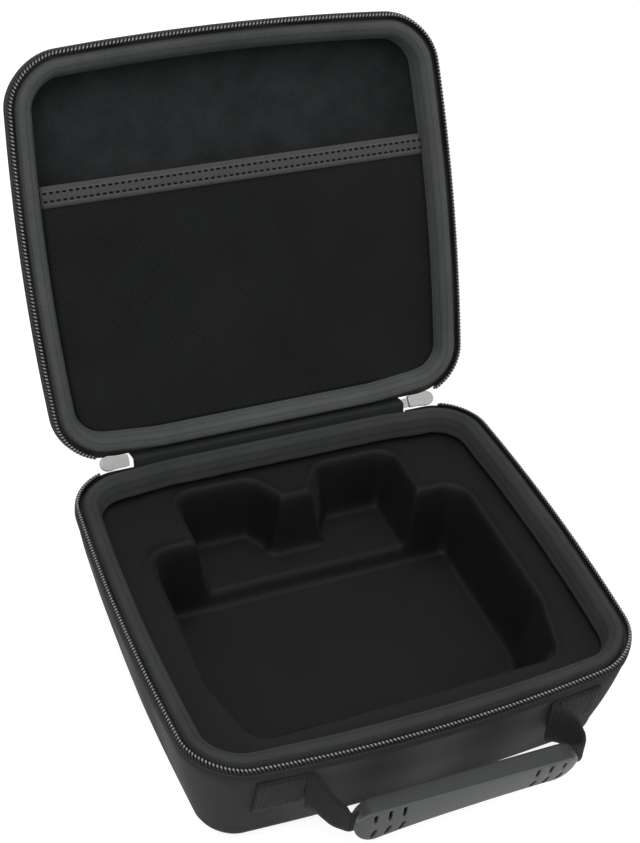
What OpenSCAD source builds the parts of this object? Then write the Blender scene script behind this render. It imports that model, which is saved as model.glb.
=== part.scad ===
// Zip-up moulded carry case with a hinged lid, a shaped insert and a web handle.
// +X runs along the hinge, +Y points to the hinge wall, +Z is up, and the origin is
// the middle of the resting face of the base.

/* [Case] */
// Width of the case at the zip seam, before the sides bow out
case_w = 230; // [205:1:270]
// Depth of the case from the handle wall to the hinge wall
case_d = 209; // [190:1:240]
// Height of the zip seam above the resting face
base_h = 68; // [60:1:90]
// Depth of the lid above the zip seam
lid_h = 30; // [26:1:50]
// Corner radius of the seen-from-above outline
corner_r = 26; // [26:1:36]
// How far the handle side bows out at its middle
front_bow = 5.5; // [0:0.5:7]
// How far the left and the right side bow out
side_bow = 4.8; // [0:0.4:6]
// How far the rim sinks at the middle of the handle side
front_dip = 5; // [0:0.5:6]
// Angle of the lid above its closed place
lid_open = 115.2; // [0:0.4:115.2]

/* [Walls] */
// Thickness of the moulded walls
wall = 5; // [4:0.5:6]
// How far the walls lean in for each millimetre away from the seam
wall_lean = 0.22; // [0.1:0.01:0.24]
// Swell of the walls at half their height
wall_swell = 2; // [0:0.25:3]
// Radius of the lower edge of the base
base_edge_r = 14; // [6:1:14]
// Radius of the upper edge of the lid
lid_edge_r = 12; // [6:1:14]

/* [Rim] */
// Distance from the outline to the edge where the rim turns inward
rim_w = 12; // [11:0.5:13]
// Depth of the bound band inside the opening
band_h = 11.5; // [9:0.5:12.5]
// How much narrower the rim is along the hinge
hinge_trim = 2.7; // [0:0.1:2.7]
// Share of the front dip that is lost across the rim
dip_fade = 0.65; // [0:0.05:0.9]
// Depth of the moulded land under the zip and the binding
land_z = 5; // [4.8:0.2:6]
// Room kept between sewn layers
ply_gap = 0.3; // [0.1:0.05:0.4]

/* [Zip] */
// Radius of one row of the zip coil
coil_r = 1.3; // [0.8:0.1:1.4]
// Depth of the coil's middle inside the outline
coil_in = 1.6; // [1.4:0.1:1.8]
// Thickness of the zip tape
tape_t = 0.9; // [0.5:0.1:1]
// Depth of the tape's outer face inside the outline
tape_in = 0.3; // [0.2:0.1:0.5]
// Distance of the tape's lower seam from the zip seam
tape_z = 7.3; // [6:0.1:8]
// Length of zip along each end of the hinge side, before the corner
zip_tail = 10.5; // [9:0.5:14]

/* [Sliders] */
// Length of a slider along the zip
slider_l = 15; // [13:0.5:15]
// Width of a slider at its mouth
slider_w = 8; // [6.5:0.5:8]
// Width of a slider at its tail
slider_tail_w = 6.6; // [5:0.2:6.6]
// Thickness of each slider plate
plate_t = 0.9; // [0.7:0.1:1]
// Clear height between the two plates
plate_gap = 2.4; // [2:0.1:2.4]
// Distance of a slider's middle from the end of the zip
slider_from_end = 9.8; // [9.2:0.1:10.2]
// Tilt of a slider between the two open rims
slider_tilt = 46.7; // [42:0.1:50]
// Length of a pull tab from its pin to its tip
pull_l = 24; // [16:1:26]
// Width of a pull tab
pull_w = 5; // [4.6:0.1:5]
// Thickness of a pull tab
pull_t = 1.2; // [0.9:0.1:1.3]

/* [Hinge] */
// Distance of the fold line behind the outline
fold_back = 1.5; // [1.5:0.1:2]
// Height of the fold line above the seam
fold_up = 1; // [0.8:0.1:1.2]
// Thickness of the hinge fabric
hinge_t = 1.2; // [0.8:0.1:1.4]
// Height of the hinge fabric on each wall
hinge_h = 14; // [10:1:16]
// Radius of the fold
fold_r = 1; // [0.8:0.1:1.1]

/* [Insert] */
// Depth of the insert's top below the seam
shelf_z = 14; // [14:0.5:18]
// Height of the main hollow's floor above the resting face
hollow_floor = 12; // [10:1:24]
// Height of the two rear hollows' floor
rear_floor = 20; // [14:1:34]
// Shelf left between each side of the case and the main hollow
hollow_side = 27; // [24:1:35]
// Shelf left between the handle wall and the main hollow
hollow_front_gap = 22.5; // [21:0.5:32]
// Distance of the main hollow's rear edge from the hinge wall
hollow_back_gap = 54.5; // [52:0.5:64]
// Distance of each rear hollow's outer edge from the side of the case
rear_side = 53; // [51:1:60]
// Distance of the rear hollows' rear edge from the hinge wall
rear_gap = 17.5; // [16:0.5:24]
// Half width of the rib between the rear hollows at its back
rib_back = 15.5; // [12:0.5:18]
// Half width of the rib between the rear hollows at its front
rib_front = 9; // [7:0.5:11]
// Length of that rib from the hinge wall
rib_l = 36.5; // [32:0.5:42]
// Corner radius of the main hollow
hollow_r = 14; // [8:1:18]
// Corner radius of the rear hollows
rear_r = 9; // [6:0.5:10]
// How much narrower the main hollow is at the handle side, on each side
hollow_taper = 6; // [0:1:12]
// Slope of the hollows' walls
hollow_slope = 0.1; // [0:0.02:0.16]

/* [Lid pocket] */
// Thickness of the lid lining
lining_t = 0.8; // [0.5:0.1:1]
// Depth of the pocket sheet inside the lid
pocket_z = 9.5; // [8.5:0.5:10.5]
// Thickness of the pocket sheet
pocket_t = 0.8; // [0.5:0.1:1]
// Distance of the pocket's free edge from the fold
pocket_l = 146; // [120:1:160]
// Width of the band along the pocket's free edge
pocket_band_w = 11; // [8:0.5:14]
// Thickness of that band
pocket_band_t = 1.6; // [1:0.1:2]

/* [Handle] */
// Width of the handle webbing
web_w = 25; // [20:0.5:25]
// Thickness of the handle webbing
web_t = 2; // [1.4:0.1:2.2]
// Distance of each sewn end's middle from the side of the case
patch_side = 39; // [38:0.5:42]
// Length of each sewn end
patch_l = 24.5; // [20:0.5:25]
// Depth of the sewn ends' middle below the seam
patch_drop = 24; // [22:1:28]
// Length of the grip
grip_l = 116; // [104:1:118]
// Height of the grip near its ends
grip_h = 21.5; // [19:0.5:22]
// Height of the grip at its middle
grip_mid_h = 19.5; // [17:0.5:20]
// Depth of the grip from front to back
grip_d = 10; // [9:0.5:11]
// Radius of the grip's ends
grip_end_r = 10.5; // [8:0.5:10.5]
// Sideways place of the grip as it hangs in the photo
grip_x = 9.3; // [7:0.1:11]
// How far the grip's front face stands before the bowed handle side
grip_out = 20.5; // [18:0.1:22]
// How far the loose right strap bulges out beyond the grip's end
strap_bulge = 4.5; // [3:0.5:7]
// Depth of the grip's middle below the seam
grip_drop = 33.5; // [31:0.5:36]
// Forward lean of the grip's top
grip_lean = 10; // [4:0.5:14]
// Distance between neighbouring grip slots
slot_pitch = 7.2; // [6:0.1:7.5]
// Distance from the grip's middle to its first slot
slot_first = 34.2; // [30:0.1:34.5]
// Distance between the two rows of slots
slot_rows = 11; // [10:0.1:11.5]
// Width of a slot
slot_w = 1.9; // [1.2:0.1:2.4]
// Height of a slot
slot_h = 5.4; // [4:0.1:5.6]
// Depth of a slot
slot_depth = 1.8; // [1:0.1:2]
// Height of the channel that the webbing runs in
channel_h = 12.6; // [10:0.2:13]

/* [Hidden] */
half_w = case_w/2;
half_d = case_d/2;
hinge_y = half_d + fold_back;
hinge_z = base_h + fold_up;
turn_steps = 6;
base_fade = base_h - base_edge_r;
lid_fade = lid_h - lid_edge_r;
zip_end = half_w - corner_r - zip_tail;
slider_x = zip_end + slider_from_end;
hollow_x = half_w - hollow_side;
hollow_y0 = -half_d + hollow_front_gap;
hollow_y1 = half_d - hollow_back_gap;
rear_x1 = half_w - rear_side;
rear_y1 = half_d - rear_gap;
rib_y = half_d - rib_l;
patch_x = half_w - patch_side;
patch_z = base_h - patch_drop;
grip_z = base_h - grip_drop;
strap_gap = 0.9;
grip_mid_y = -half_d - front_bow - grip_out + grip_d/2;
step_z = tape_z + ply_gap;
shell_in = tape_in + tape_t + ply_gap;
coil_z = coil_r + 0.15;
bind_in = coil_in + coil_r + 1.7;
band_in = rim_w + 2.2;
seat_gap = 0.2;
thin = 0.4;

// Outline of the seam seen from above, counterclockwise from the left rear corner
function arc(cx, cy, r, a0) = [for (i = [0:turn_steps])
    [cx + r*cos(a0 + 90*i/turn_steps), cy + r*sin(a0 + 90*i/turn_steps)]];
function between(p, q, n) = [for (i = [1:n]) p + (q - p)*i/(n + 1)];
ax = half_w - corner_r;
ay = half_d - corner_r;
rear_x = [for (k = [1, 0.76, 0.38, 0, -0.38, -0.76, -1]) k*zip_end];
plan = concat(
    arc(-ax, ay, corner_r, 90),
    between([-half_w, ay], [-half_w, -ay], 5),
    arc(-ax, -ay, corner_r, 180),
    between([-ax, -half_d], [ax, -half_d], 7),
    arc(ax, -ay, corner_r, 270),
    between([half_w, -ay], [half_w, ay], 5),
    arc(ax, ay, corner_r, 0),
    [for (x = rear_x) [x, half_d]]);
count = len(plan);
zip_count = count - len(rear_x);

// The sides and the front bow out, and the front dips
function bowed(p) = let(u = p[0]/half_w, v = p[1]/half_d) [
    p[0] + sign(p[0])*side_bow*(1 - v*v)*pow(abs(u), 3),
    p[1] - front_bow*(1 - u*u)*pow(max(-v, 0), 3)];
function dip_share(p) = (1 - pow(p[0]/half_w, 2))*pow(max(-p[1]/half_d, 0), 3);
function unit(v) = v/norm(v);
line = [for (p = plan) bowed(p)];
dips = [for (p = plan) dip_share(p)];
outs = [for (i = [0:count - 1])
    let(t = unit(line[i] - line[(i + count - 1)%count])
          + unit(line[(i + 1)%count] - line[i]))
    unit([t[1], -t[0]])];
trims = [for (p = plan) p[1] == half_d && abs(p[0]) < 0.9*zip_end ? hinge_trim : 0];

// How far a wall leans in at depth s of a tray of height h
function lean(s, h) = wall_lean*s - wall_swell*4*(s/h)*(1 - s/h);
// The front dip at a place of the rim, and lower down the wall
function rim_dip(ins) =
    front_dip*(1 - dip_fade*min(max((ins - shell_in)/(rim_w - 1 - shell_in), 0), 1));
function wall_dip(s, fade) = front_dip*max(0, 1 - max(0, s - step_z)/(fade - step_z));

// One ring of points: inset from the outline, depth from the seam, dip, share of the trim
// up is 1 for the base and -1 for the lid
function ring(r, up) = [for (i = [0:count - 1])
    let(q = line[i] - outs[i]*(r[0] - r[3]*trims[i]))
    [q[0], q[1], base_h - up*r[1] - dips[i]*r[2]]];
function tip(x, r, up) = [x, half_d - r[0], base_h - up*r[1]];

function flat(lists) = [for (l = lists) each l];
function turned(f, up) = up > 0 ? f : [for (t = f) [for (k = [len(t) - 1:-1:0]) t[k]]];

// A closed skin whose first and last ring are each closed by a flat fan
module skin(prof, up) {
    n = len(prof);
    mid = n*count;
    ends = [for (r = [prof[0], prof[n - 1]]) [0, 0, base_h - up*r[1]]];
    faces = concat(
        [for (i = [0:count - 1]) [i, (i + 1)%count, mid]],
        [for (j = [0:n - 2]) for (i = [0:count - 1])
            let(k = (i + 1)%count)
            [j*count + i, (j + 1)*count + i, (j + 1)*count + k, j*count + k]],
        [for (i = [0:count - 1])
            [(n - 1)*count + (i + 1)%count, (n - 1)*count + i, mid + 1]]);
    polyhedron(points = concat(flat([for (r = prof) ring(r, up)]), ends),
        faces = turned(faces, up));
}

// A bead of the given section that runs all the way round
module bead(prof, up) {
    n = len(prof);
    faces = [for (j = [0:n - 1]) for (i = [0:count - 1])
        let(k = (i + 1)%count, m = (j + 1)%n)
        [j*count + i, m*count + i, m*count + k, j*count + k]];
    polyhedron(points = flat([for (r = prof) ring(r, up)]), faces = turned(faces, up));
}

// A bead that leaves the hinge side open: skip corner points are dropped at each end,
// and with none dropped it ends at the plain part of the hinge
module open_bead(prof, up, skip) {
    n = len(prof);
    rows = [for (r = prof) let(g = ring(r, up)) concat(
        skip > 0 ? [] : [tip(-zip_end, r, up)],
        [for (i = [skip:zip_count - 1 - skip]) g[i]],
        skip > 0 ? [] : [tip(zip_end, r, up)])];
    c = len(rows[0]);
    faces = concat(
        [[for (j = [n - 1:-1:0]) j*c]],
        [for (j = [0:n - 1]) for (i = [0:c - 2])
            let(m = (j + 1)%n)
            [j*c + i, m*c + i, m*c + i + 1, j*c + i + 1]],
        [[for (j = [0:n - 1]) j*c + c - 1]]);
    polyhedron(points = flat(rows), faces = turned(faces, up));
}

// Rings of a moulded tray with height h and edge radius er
function tray(h, er) = let(f = h - er, li = lean(f, h)) concat(
    [for (a = [90, 60, 30, 0]) [li + er*(1 - cos(a)), f + er*sin(a), 0, 0]],
    [for (s = [f*0.72, f*0.4]) [lean(s, h), s, wall_dip(s, f), 0]],
    [[lean(step_z, h), step_z, front_dip, 0],
     [shell_in, step_z, front_dip, 0],
     [shell_in, land_z, front_dip, 0],
     [rim_w - 1, land_z, rim_dip(rim_w), 1],
     [rim_w + 0.3, band_h, rim_dip(rim_w), 1]],
    [for (s = [band_h + 1.5, (band_h + 1.5 + f)/2, f*0.9 + band_h*0.1])
        [lean(s, h) + wall, s, wall_dip(s, f)*(1 - dip_fade), 0]],
    [for (a = [0:30:90])
        [li + wall + (er - wall)*(1 - cos(a)), f + (er - wall)*sin(a), 0, 0]]);

binding_prof = [
    [bind_in, land_z - ply_gap, rim_dip(bind_in), 1],
    [bind_in, coil_z + 0.1, rim_dip(bind_in), 1],
    [bind_in + 1, 0.5, rim_dip(bind_in + 1), 1],
    [bind_in + 3, 0.2, rim_dip(bind_in + 3), 1],
    [rim_w - 1.8, 0.7, rim_dip(rim_w - 1.8), 1],
    [rim_w, 2.5, rim_dip(rim_w), 1],
    [rim_w + 1.4, 7, rim_dip(rim_w), 1],
    [band_in, band_h, rim_dip(rim_w), 1],
    [rim_w + 0.3 + ply_gap, band_h, rim_dip(rim_w), 1],
    [rim_w - 1 + ply_gap, land_z - ply_gap, rim_dip(rim_w), 1]];

coil_prof = [for (a = [-157.5:45:157.5])
    [coil_in + coil_r*cos(a), coil_z + coil_r*sin(-a), front_dip, 0]];

tape_prof = [
    [tape_in, tape_z, front_dip, 0],
    [tape_in, coil_z + coil_r + 0.25, front_dip, 0],
    [tape_in + tape_t, coil_z + coil_r + 0.25, front_dip, 0],
    [tape_in + tape_t, tape_z, front_dip, 0]];

// The lid turned up to its open place
module as_open() {
    translate([0, hinge_y, hinge_z]) rotate([-lid_open, 0, 0])
        translate([0, -hinge_y, -hinge_z]) children();
}

module base_shell() {
    color("#3a3a3c") skin(tray(base_h, base_edge_r), 1);
}

module lid_shell() {
    color("#3a3a3c") as_open() skin(tray(lid_h, lid_edge_r), -1);
}

module base_binding() {
    color("#3a3c3b") bead(binding_prof, 1);
}

module lid_binding() {
    color("#3a3c3b") as_open() bead(binding_prof, -1);
}

module base_zip_coil() {
    color("#101010") open_bead(coil_prof, 1, 2);
}

module lid_zip_coil() {
    color("#101010") as_open() open_bead(coil_prof, -1, 2);
}

module base_zip_tape() {
    color("#2c2d2d") open_bead(tape_prof, 1, 0);
}

module lid_zip_tape() {
    color("#2c2d2d") as_open() open_bead(tape_prof, -1, 2);
}

// Thin lining that lies inside the lid
module lid_lining() {
    g = 0.1;
    er = lid_edge_r - wall;
    li = lean(lid_fade, lid_h) + wall + g;
    low = band_h + 1.6;
    outer = [[li + er, lid_h - wall - g, 0, 0],
        [li, lid_fade, 0, 0],
        [lean(low, lid_h) + wall + g, low, 0, 0]];
    inner = [for (k = [2, 1, 0]) let(r = outer[k])
        [r[0] + (k == 0 ? 0 : lining_t), r[1] - (k == 0 ? lining_t : 0), 0, 0]];
    color("#26282a") as_open() skin(concat(outer, inner), -1);
}

// Seen-from-above area inside the lid's band, as far out as inset ins
module inside_area(ins) {
    polygon([for (p = ring([ins, 0, 0, 1], 1)) [p[0], p[1]]]);
}

module lid_slice(z0, t, y0, y1) {
    translate([0, 0, base_h + z0]) linear_extrude(t) intersection() {
        inside_area(band_in - 0.1);
        translate([-case_w, y0]) square([2*case_w, y1 - y0]);
    }
}

module mesh_pocket() {
    y0 = hinge_y - pocket_l + pocket_band_w + 0.1;
    color("#1b1c1d") as_open() lid_slice(pocket_z - pocket_t/2, pocket_t, y0, case_d);
}

module pocket_band() {
    y0 = hinge_y - pocket_l;
    color("#4a4a4a") as_open()
        lid_slice(pocket_z - pocket_band_t/2, pocket_band_t, y0, y0 + pocket_band_w);
}

// A post that narrows downward, as each corner of a hollow does
module post(x, y, r, floor_z) {
    h = base_h - shelf_z - floor_z + 1;
    translate([x, y, floor_z]) cylinder(h = h, r1 = r - hollow_slope*h, r2 = r, $fn = 24);
}

module main_hollow() {
    waist_r = 10;
    hull() for (sx = [-1, 1]) {
        post(sx*(hollow_x - hollow_r), hollow_y1 - hollow_r, hollow_r, hollow_floor);
        post(sx*(hollow_x - hollow_taper - hollow_r), hollow_y0 + hollow_r, hollow_r,
            hollow_floor);
        post(sx*(hollow_x - waist_r), hollow_y0/2, waist_r, hollow_floor);
    }
}

module rear_hollow(sx) {
    y0 = hollow_y1 - 2*rear_r;
    hull() {
        post(sx*(rear_x1 - rear_r), y0, rear_r, rear_floor);
        post(sx*(rear_x1 - rear_r), rear_y1 - rear_r, rear_r, rear_floor);
        post(sx*(rib_back + rear_r), rear_y1 - rear_r, rear_r, rear_floor);
        post(sx*(rib_front + rear_r), rib_y, rear_r, rear_floor);
        post(sx*(rib_front + rear_r), y0, rear_r, rear_floor);
    }
}

// The gap between the two rear hollows in front of the rib
module rib_gap() {
    gap_r = 6;
    hull() for (sx = [-1, 1]) {
        post(sx*2*rib_front, rib_y - gap_r, gap_r, rear_floor);
        post(sx*2*rib_front, hollow_y1 - 2*gap_r, gap_r, rear_floor);
    }
}

module insert_tray() {
    fit = 0.4;
    li = lean(base_fade, base_h) + wall + fit;
    er = base_edge_r - wall;
    prof = concat(
        [for (a = [90, 60, 30, 0]) [li + er*(1 - cos(a)), base_fade + er*sin(a) - fit, 0, 0]],
        [for (s = [(band_h + 1.5 + base_fade)/2, shelf_z + 3])
            [lean(s, base_h) + wall + fit, s, 0, 0]],
        [[lean(shelf_z, base_h) + wall + fit + 2.5, shelf_z, 0, 0],
         [lean(shelf_z, base_h) + wall + fit + 6, shelf_z, 0, 0]]);
    color("#19191a") difference() {
        skin(prof, 1);
        main_hollow();
        rear_hollow(-1);
        rear_hollow(1);
        rib_gap();
    }
}

// Face of the rear wall at depth s
function rear_wall(s, h) = half_d - lean(s, h) + seat_gap;

module hinge_strip_lower() {
    y1 = rear_wall(hinge_h, base_h);
    y2 = rear_wall(step_z, base_h);
    half_l = zip_end - 0.5;
    color("#2e2f2f") translate([-half_l, 0, 0]) rotate([90, 0, 90]) {
        linear_extrude(2*half_l) polygon([
            [y1, base_h - hinge_h], [y1 + hinge_t, base_h - hinge_h],
            [y2 + hinge_t, base_h - step_z], [hinge_y - 0.1, hinge_z - 1.8],
            [hinge_y + 0.6, hinge_z], [hinge_y - 0.8, hinge_z],
            [hinge_y - 1.4, hinge_z - 1.8], [y2, base_h - step_z]]);
        translate([hinge_y, hinge_z, 0]) cylinder(h = 2*half_l, r = fold_r, $fn = 24);
    }
}

module hinge_strip_upper() {
    y1 = rear_wall(hinge_h, lid_h);
    y2 = rear_wall(step_z, lid_h);
    half_l = zip_end - 0.5;
    color("#2e2f2f") as_open() translate([-half_l, 0, 0]) rotate([90, 0, 90])
        linear_extrude(2*half_l) polygon([
            [y1, base_h + hinge_h], [y2, base_h + step_z],
            [hinge_y - 1.3, hinge_z + 1.2], [hinge_y - 0.3, hinge_z + 1.5],
            [y2 + hinge_t, base_h + step_z], [y1 + hinge_t, base_h + hinge_h]]);
}

// Slider frame: X along the zip with the mouth at +X, Y across it, Z to the inside
module at_slider(side) {
    translate([side*slider_x, hinge_y, hinge_z]) rotate([slider_tilt, 0, 0])
        mirror([side < 0 ? 1 : 0, 0, 0]) children();
}

module slider_plate() {
    m = slider_w/2;
    t = slider_tail_w/2;
    h = slider_l/2;
    linear_extrude(plate_t) polygon([
        [-h, -t + 0.8], [-h + 1, -t], [-1, -t], [3, -m], [h - 3.4, -m], [h - 1.2, -m + 1],
        [h, -m + 3], [h, m - 3], [h - 1.2, m - 1], [h - 3.4, m], [3, m], [-1, t],
        [-h + 1, t], [-h, t - 0.8]]);
}

module slider(side) {
    bridge_l = 9;
    bridge_w = 2.4;
    bridge_gap = 1.2;
    g = plate_gap/2;
    color("#b4b4b2") at_slider(side) {
        translate([0, 0, g]) slider_plate();
        translate([0, 0, -g - plate_t]) slider_plate();
        translate([slider_l/2 - 3.6, 0, -g - 0.1])
            cylinder(h = plate_gap + 0.2, r = 1.3, $fn = 24);
        translate([-bridge_l/2, -bridge_w/2, -g - plate_t - bridge_gap - 1])
            cube([bridge_l, bridge_w, 1]);
        for (sx = [-1, 1])
            translate([sx*(bridge_l/2 - 0.5) - 0.5, -bridge_w/2, -g - plate_t - bridge_gap - 0.5])
                cube([1, bridge_w, bridge_gap + 0.6]);
    }
}

module pull(side) {
    pin_r = 0.45;
    pin_z = -plate_gap/2 - plate_t - 0.6;
    bar_in = 1.5;
    bar_out = 2.3;
    ring_l = 5.4;
    color("#b4b4b2") at_slider(side) translate([0, 0, pin_z]) {
        rotate([90, 0, 0]) translate([0, 0, -bar_out])
            cylinder(h = 2*bar_out, r = pin_r, $fn = 24);
        for (sy = [-1, 1])
            translate([-pin_r, sy*(bar_in + bar_out)/2 - (bar_out - bar_in)/2, -ring_l - 0.5])
                cube([2*pin_r, bar_out - bar_in, ring_l + 0.5]);
        translate([-pull_t/2, 0, 0]) rotate([0, 90, 0]) linear_extrude(pull_t)
            polygon([[ring_l, -pull_w/2], [pull_l*0.5, -pull_w/2 + 0.4],
                [pull_l - 2, -pull_w/2], [pull_l, -pull_w/2 + 1.6],
                [pull_l, pull_w/2 - 1.6], [pull_l - 2, pull_w/2],
                [pull_l*0.5, pull_w/2 - 0.4], [ring_l, pull_w/2]]);
    }
}

module slider_left() { slider(-1); }
module slider_right() { slider(1); }
module pull_left() { pull(-1); }
module pull_right() { pull(1); }

// Face of the front wall at height z and sideways place x
function front_face(x, z) =
    -half_d - front_bow*(1 - pow(x/half_w, 2)) + lean(base_h - z, base_h);
// Slopes of that face, in degrees
function front_tilt(x, z) = atan(front_face(x, z - 5) - front_face(x, z + 5) > 0
    ? (front_face(x, z - 5) - front_face(x, z + 5))/10 : 0);
function front_yaw(x, z) = atan((front_face(x + 5, z) - front_face(x - 5, z))/10);

module handle_patch(side) {
    x = side*patch_x;
    color("#1f2021") translate([x, front_face(x, patch_z) - seat_gap - 0.15, patch_z])
        rotate([front_tilt(x, patch_z), 0, front_yaw(x, patch_z)])
            translate([-patch_l/2, -web_t, -web_w/2]) cube([patch_l, web_t, web_w]);
}

module handle_patch_left() { handle_patch(-1); }
module handle_patch_right() { handle_patch(1); }

// A length of webbing through the given stations: each is [x, y, z, height]
module strap(st) {
    n = len(st);
    sides = [for (i = [0:n - 1])
        let(a = st[max(i - 1, 0)], b = st[min(i + 1, n - 1)],
            t = unit([b[0] - a[0], b[1] - a[1]]))
        [t[1], -t[0]]*web_t/2];
    pts = flat([for (i = [0:n - 1]) let(s = st[i], o = sides[i], h = s[3]/2) [
        [s[0] - o[0], s[1] - o[1], s[2] - h], [s[0] + o[0], s[1] + o[1], s[2] - h],
        [s[0] + o[0], s[1] + o[1], s[2] + h], [s[0] - o[0], s[1] - o[1], s[2] + h]]]);
    faces = concat([[0, 1, 2, 3]],
        [for (i = [0:n - 2]) for (j = [0:3]) let(k = (j + 1)%4)
            [4*i + j, 4*i + 4 + j, 4*i + 4 + k, 4*i + k]],
        [[4*n - 1, 4*n - 2, 4*n - 3, 4*n - 4]]);
    polyhedron(points = pts, faces = faces);
}

// Where the free webbing leaves its sewn end, and where it enters the grip
root_x = patch_x - patch_l/2 - strap_gap;
root_y = front_face(root_x, patch_z + web_w/2) - web_t/2 - ply_gap;
grip_mouth = grip_l/2 + strap_gap;
channel_z = 1.5;

// A station between a strap's root and its mouth in the grip: share k of the way outwards,
// at the sideways place x, its middle at share m of the drop in height
function station(x, k, m, h) = [x, root_y + (grip_mid_y - root_y)*k,
    patch_z + (grip_z + channel_z - patch_z)*m, h];

module handle_strap_left() {
    x1 = grip_x - grip_mouth;
    way = x1 + root_x;
    color("#1f2021") strap([
        station(-root_x, 0, 0, web_w),
        station(-root_x + 0.15*way, 0.11, 0.04, web_w),
        station(-root_x + 0.36*way, 0.29, 0.44, web_w - 2),
        station(-root_x + 0.62*way, 0.54, 0.88, web_w - 4.5),
        station(-root_x + 0.87*way, 0.78, 1, channel_h + 5),
        station(x1, 1, 1, channel_h)]);
}

// The loose right strap folds back on itself and then bulges out beyond the grip's end
module handle_strap_right() {
    x1 = grip_x + grip_mouth;
    far = x1 + strap_bulge;
    color("#1f2021") strap([
        station(root_x, 0, 0, web_w),
        station(root_x - 3, 0.11, 0, web_w),
        station(root_x + 1.8, 0.24, 0.12, web_w - 1),
        station(far - 3, 0.47, 0.4, web_w - 3),
        station(far - 1, 0.68, 0.7, web_w - 7),
        station(far - 0.3, 0.84, 0.95, channel_h + 3.5),
        station(far - 1.8, 0.97, 1, channel_h + 1),
        station(x1, 1, 1, channel_h)]);
}

// Grip frame: the middle of the grip, with its front face to -Y
module at_grip() {
    translate([grip_x, grip_mid_y, grip_z]) rotate([grip_lean, 0, 0]) children();
}

// The grip seen from the front
module grip_front() {
    r = grip_end_r;
    top = grip_h/2;
    rise = grip_h - grip_mid_h;
    h = grip_l/2;
    steps = 8;
    polygon(concat(
        [for (i = [0:steps]) let(a = 90 + 90*i/steps)
            [-h + r + r*cos(a), top - r + r*sin(a)]],
        [for (i = [0:steps]) let(a = 180 + 75*i/steps)
            [-h + r + r*cos(a), -top + r + r*sin(a)]],
        [for (i = [0:12]) let(x = -h + r + 2 + (2*h - 2*r - 4)*i/12)
            [x, -top + rise*(1 - pow(abs(x)/(h - r), 2.5))]],
        [for (i = [0:steps]) let(a = 285 + 75*i/steps)
            [h - r + r*cos(a), -top + r + r*sin(a)]],
        [for (i = [0:steps]) let(a = 90*i/steps)
            [h - r + r*cos(a), top - r + r*sin(a)]]));
}

// The grip cut across
module grip_section() {
    d = grip_d/2;
    t = grip_h/2;
    polygon([[-d, -t + 1.2], [-d + 1.2, -t], [d - 2.5, -t], [d, -t + 2.5],
        [d, t - 4.5], [d - 1.6, t - 2.4], [-d + 1.5, t], [-d + 0.4, t - 0.5], [-d, t - 1.6]]);
}

module handle_grip() {
    color("#474949") at_grip() difference() {
        intersection() {
            rotate([90, 0, 0]) linear_extrude(grip_d + 2, center = true) grip_front();
            rotate([90, 0, 90]) linear_extrude(grip_l, center = true) grip_section();
        }
        translate([-grip_l/2 - 1, -web_t/2 - thin, channel_z - channel_h/2 - thin])
            cube([grip_l + 2, web_t + 2*thin, channel_h + 2*thin]);
        for (sx = [-1, 1]) for (i = [0:2]) for (row = [-1, 1])
            translate([sx*(slot_first + i*slot_pitch), -grip_d/2 + slot_depth/2 - 0.5,
                row*slot_rows/2])
                cube([slot_w, slot_depth + 1, slot_h], center = true);
    }
}

module handle_webbing() {
    color("#1f2021") at_grip()
        translate([-grip_l/2, -web_t/2, channel_z - channel_h/2])
            cube([grip_l, web_t, channel_h]);
}

base_shell();
base_binding();
base_zip_tape();
base_zip_coil();
insert_tray();
hinge_strip_lower();
handle_patch_left();
handle_patch_right();
handle_grip();
handle_webbing();
handle_strap_left();
handle_strap_right();
lid_shell();
lid_lining();
lid_binding();
lid_zip_tape();
lid_zip_coil();
mesh_pocket();
pocket_band();
hinge_strip_upper();
slider_left();
slider_right();
pull_left();
pull_right();
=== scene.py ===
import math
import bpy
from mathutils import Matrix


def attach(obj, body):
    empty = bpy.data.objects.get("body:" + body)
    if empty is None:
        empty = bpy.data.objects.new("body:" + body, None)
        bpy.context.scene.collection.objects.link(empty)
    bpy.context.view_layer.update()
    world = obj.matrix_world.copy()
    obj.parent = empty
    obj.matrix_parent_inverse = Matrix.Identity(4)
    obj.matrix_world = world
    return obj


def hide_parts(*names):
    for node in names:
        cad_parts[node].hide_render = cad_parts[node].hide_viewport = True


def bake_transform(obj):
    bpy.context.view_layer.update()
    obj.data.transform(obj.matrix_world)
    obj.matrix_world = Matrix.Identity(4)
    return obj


bl_info = {
    "name": "Zip-up moulded carry case",
    "version": (1, 0, 0),
    "blender": (4, 5, 0),
    "location": "3D View > Sidebar > Carry case",
    "description": "Dresses the open carry case with its covers, zip, bindings, insert and handle",
    "category": "Object",
}

import bmesh
import bpy
import numpy as np
from mathutils import Matrix, Vector, noise

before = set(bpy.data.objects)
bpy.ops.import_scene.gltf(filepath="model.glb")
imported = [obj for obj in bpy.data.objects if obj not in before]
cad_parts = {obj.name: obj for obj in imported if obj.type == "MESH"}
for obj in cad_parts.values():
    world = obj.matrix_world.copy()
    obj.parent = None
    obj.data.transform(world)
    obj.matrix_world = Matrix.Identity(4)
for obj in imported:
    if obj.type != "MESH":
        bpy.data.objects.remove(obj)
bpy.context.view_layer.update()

# Lengths below are millimetres in the frame of the part; meshes are made in metres.
MM = 0.001
HALF_W, HALF_D, CORNER = 115.0, 104.5, 26.0
BASE_H, LID_H = 68.0, 30.0
FRONT_BOW, SIDE_BOW, FRONT_DIP, DIP_FADE = 5.5, 4.8, 5.0, 0.65
WALL, LEAN, SWELL, BASE_EDGE, LID_EDGE = 5.0, 0.22, 2.0, 14.0, 12.0
RIM_W, BAND_H, HINGE_TRIM, LAND = 12.0, 11.5, 2.7, 5.0
COIL_R, COIL_IN, TAPE_IN, TAPE_T, TAPE_LOW = 1.3, 1.6, 0.3, 0.9, 7.3
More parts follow.
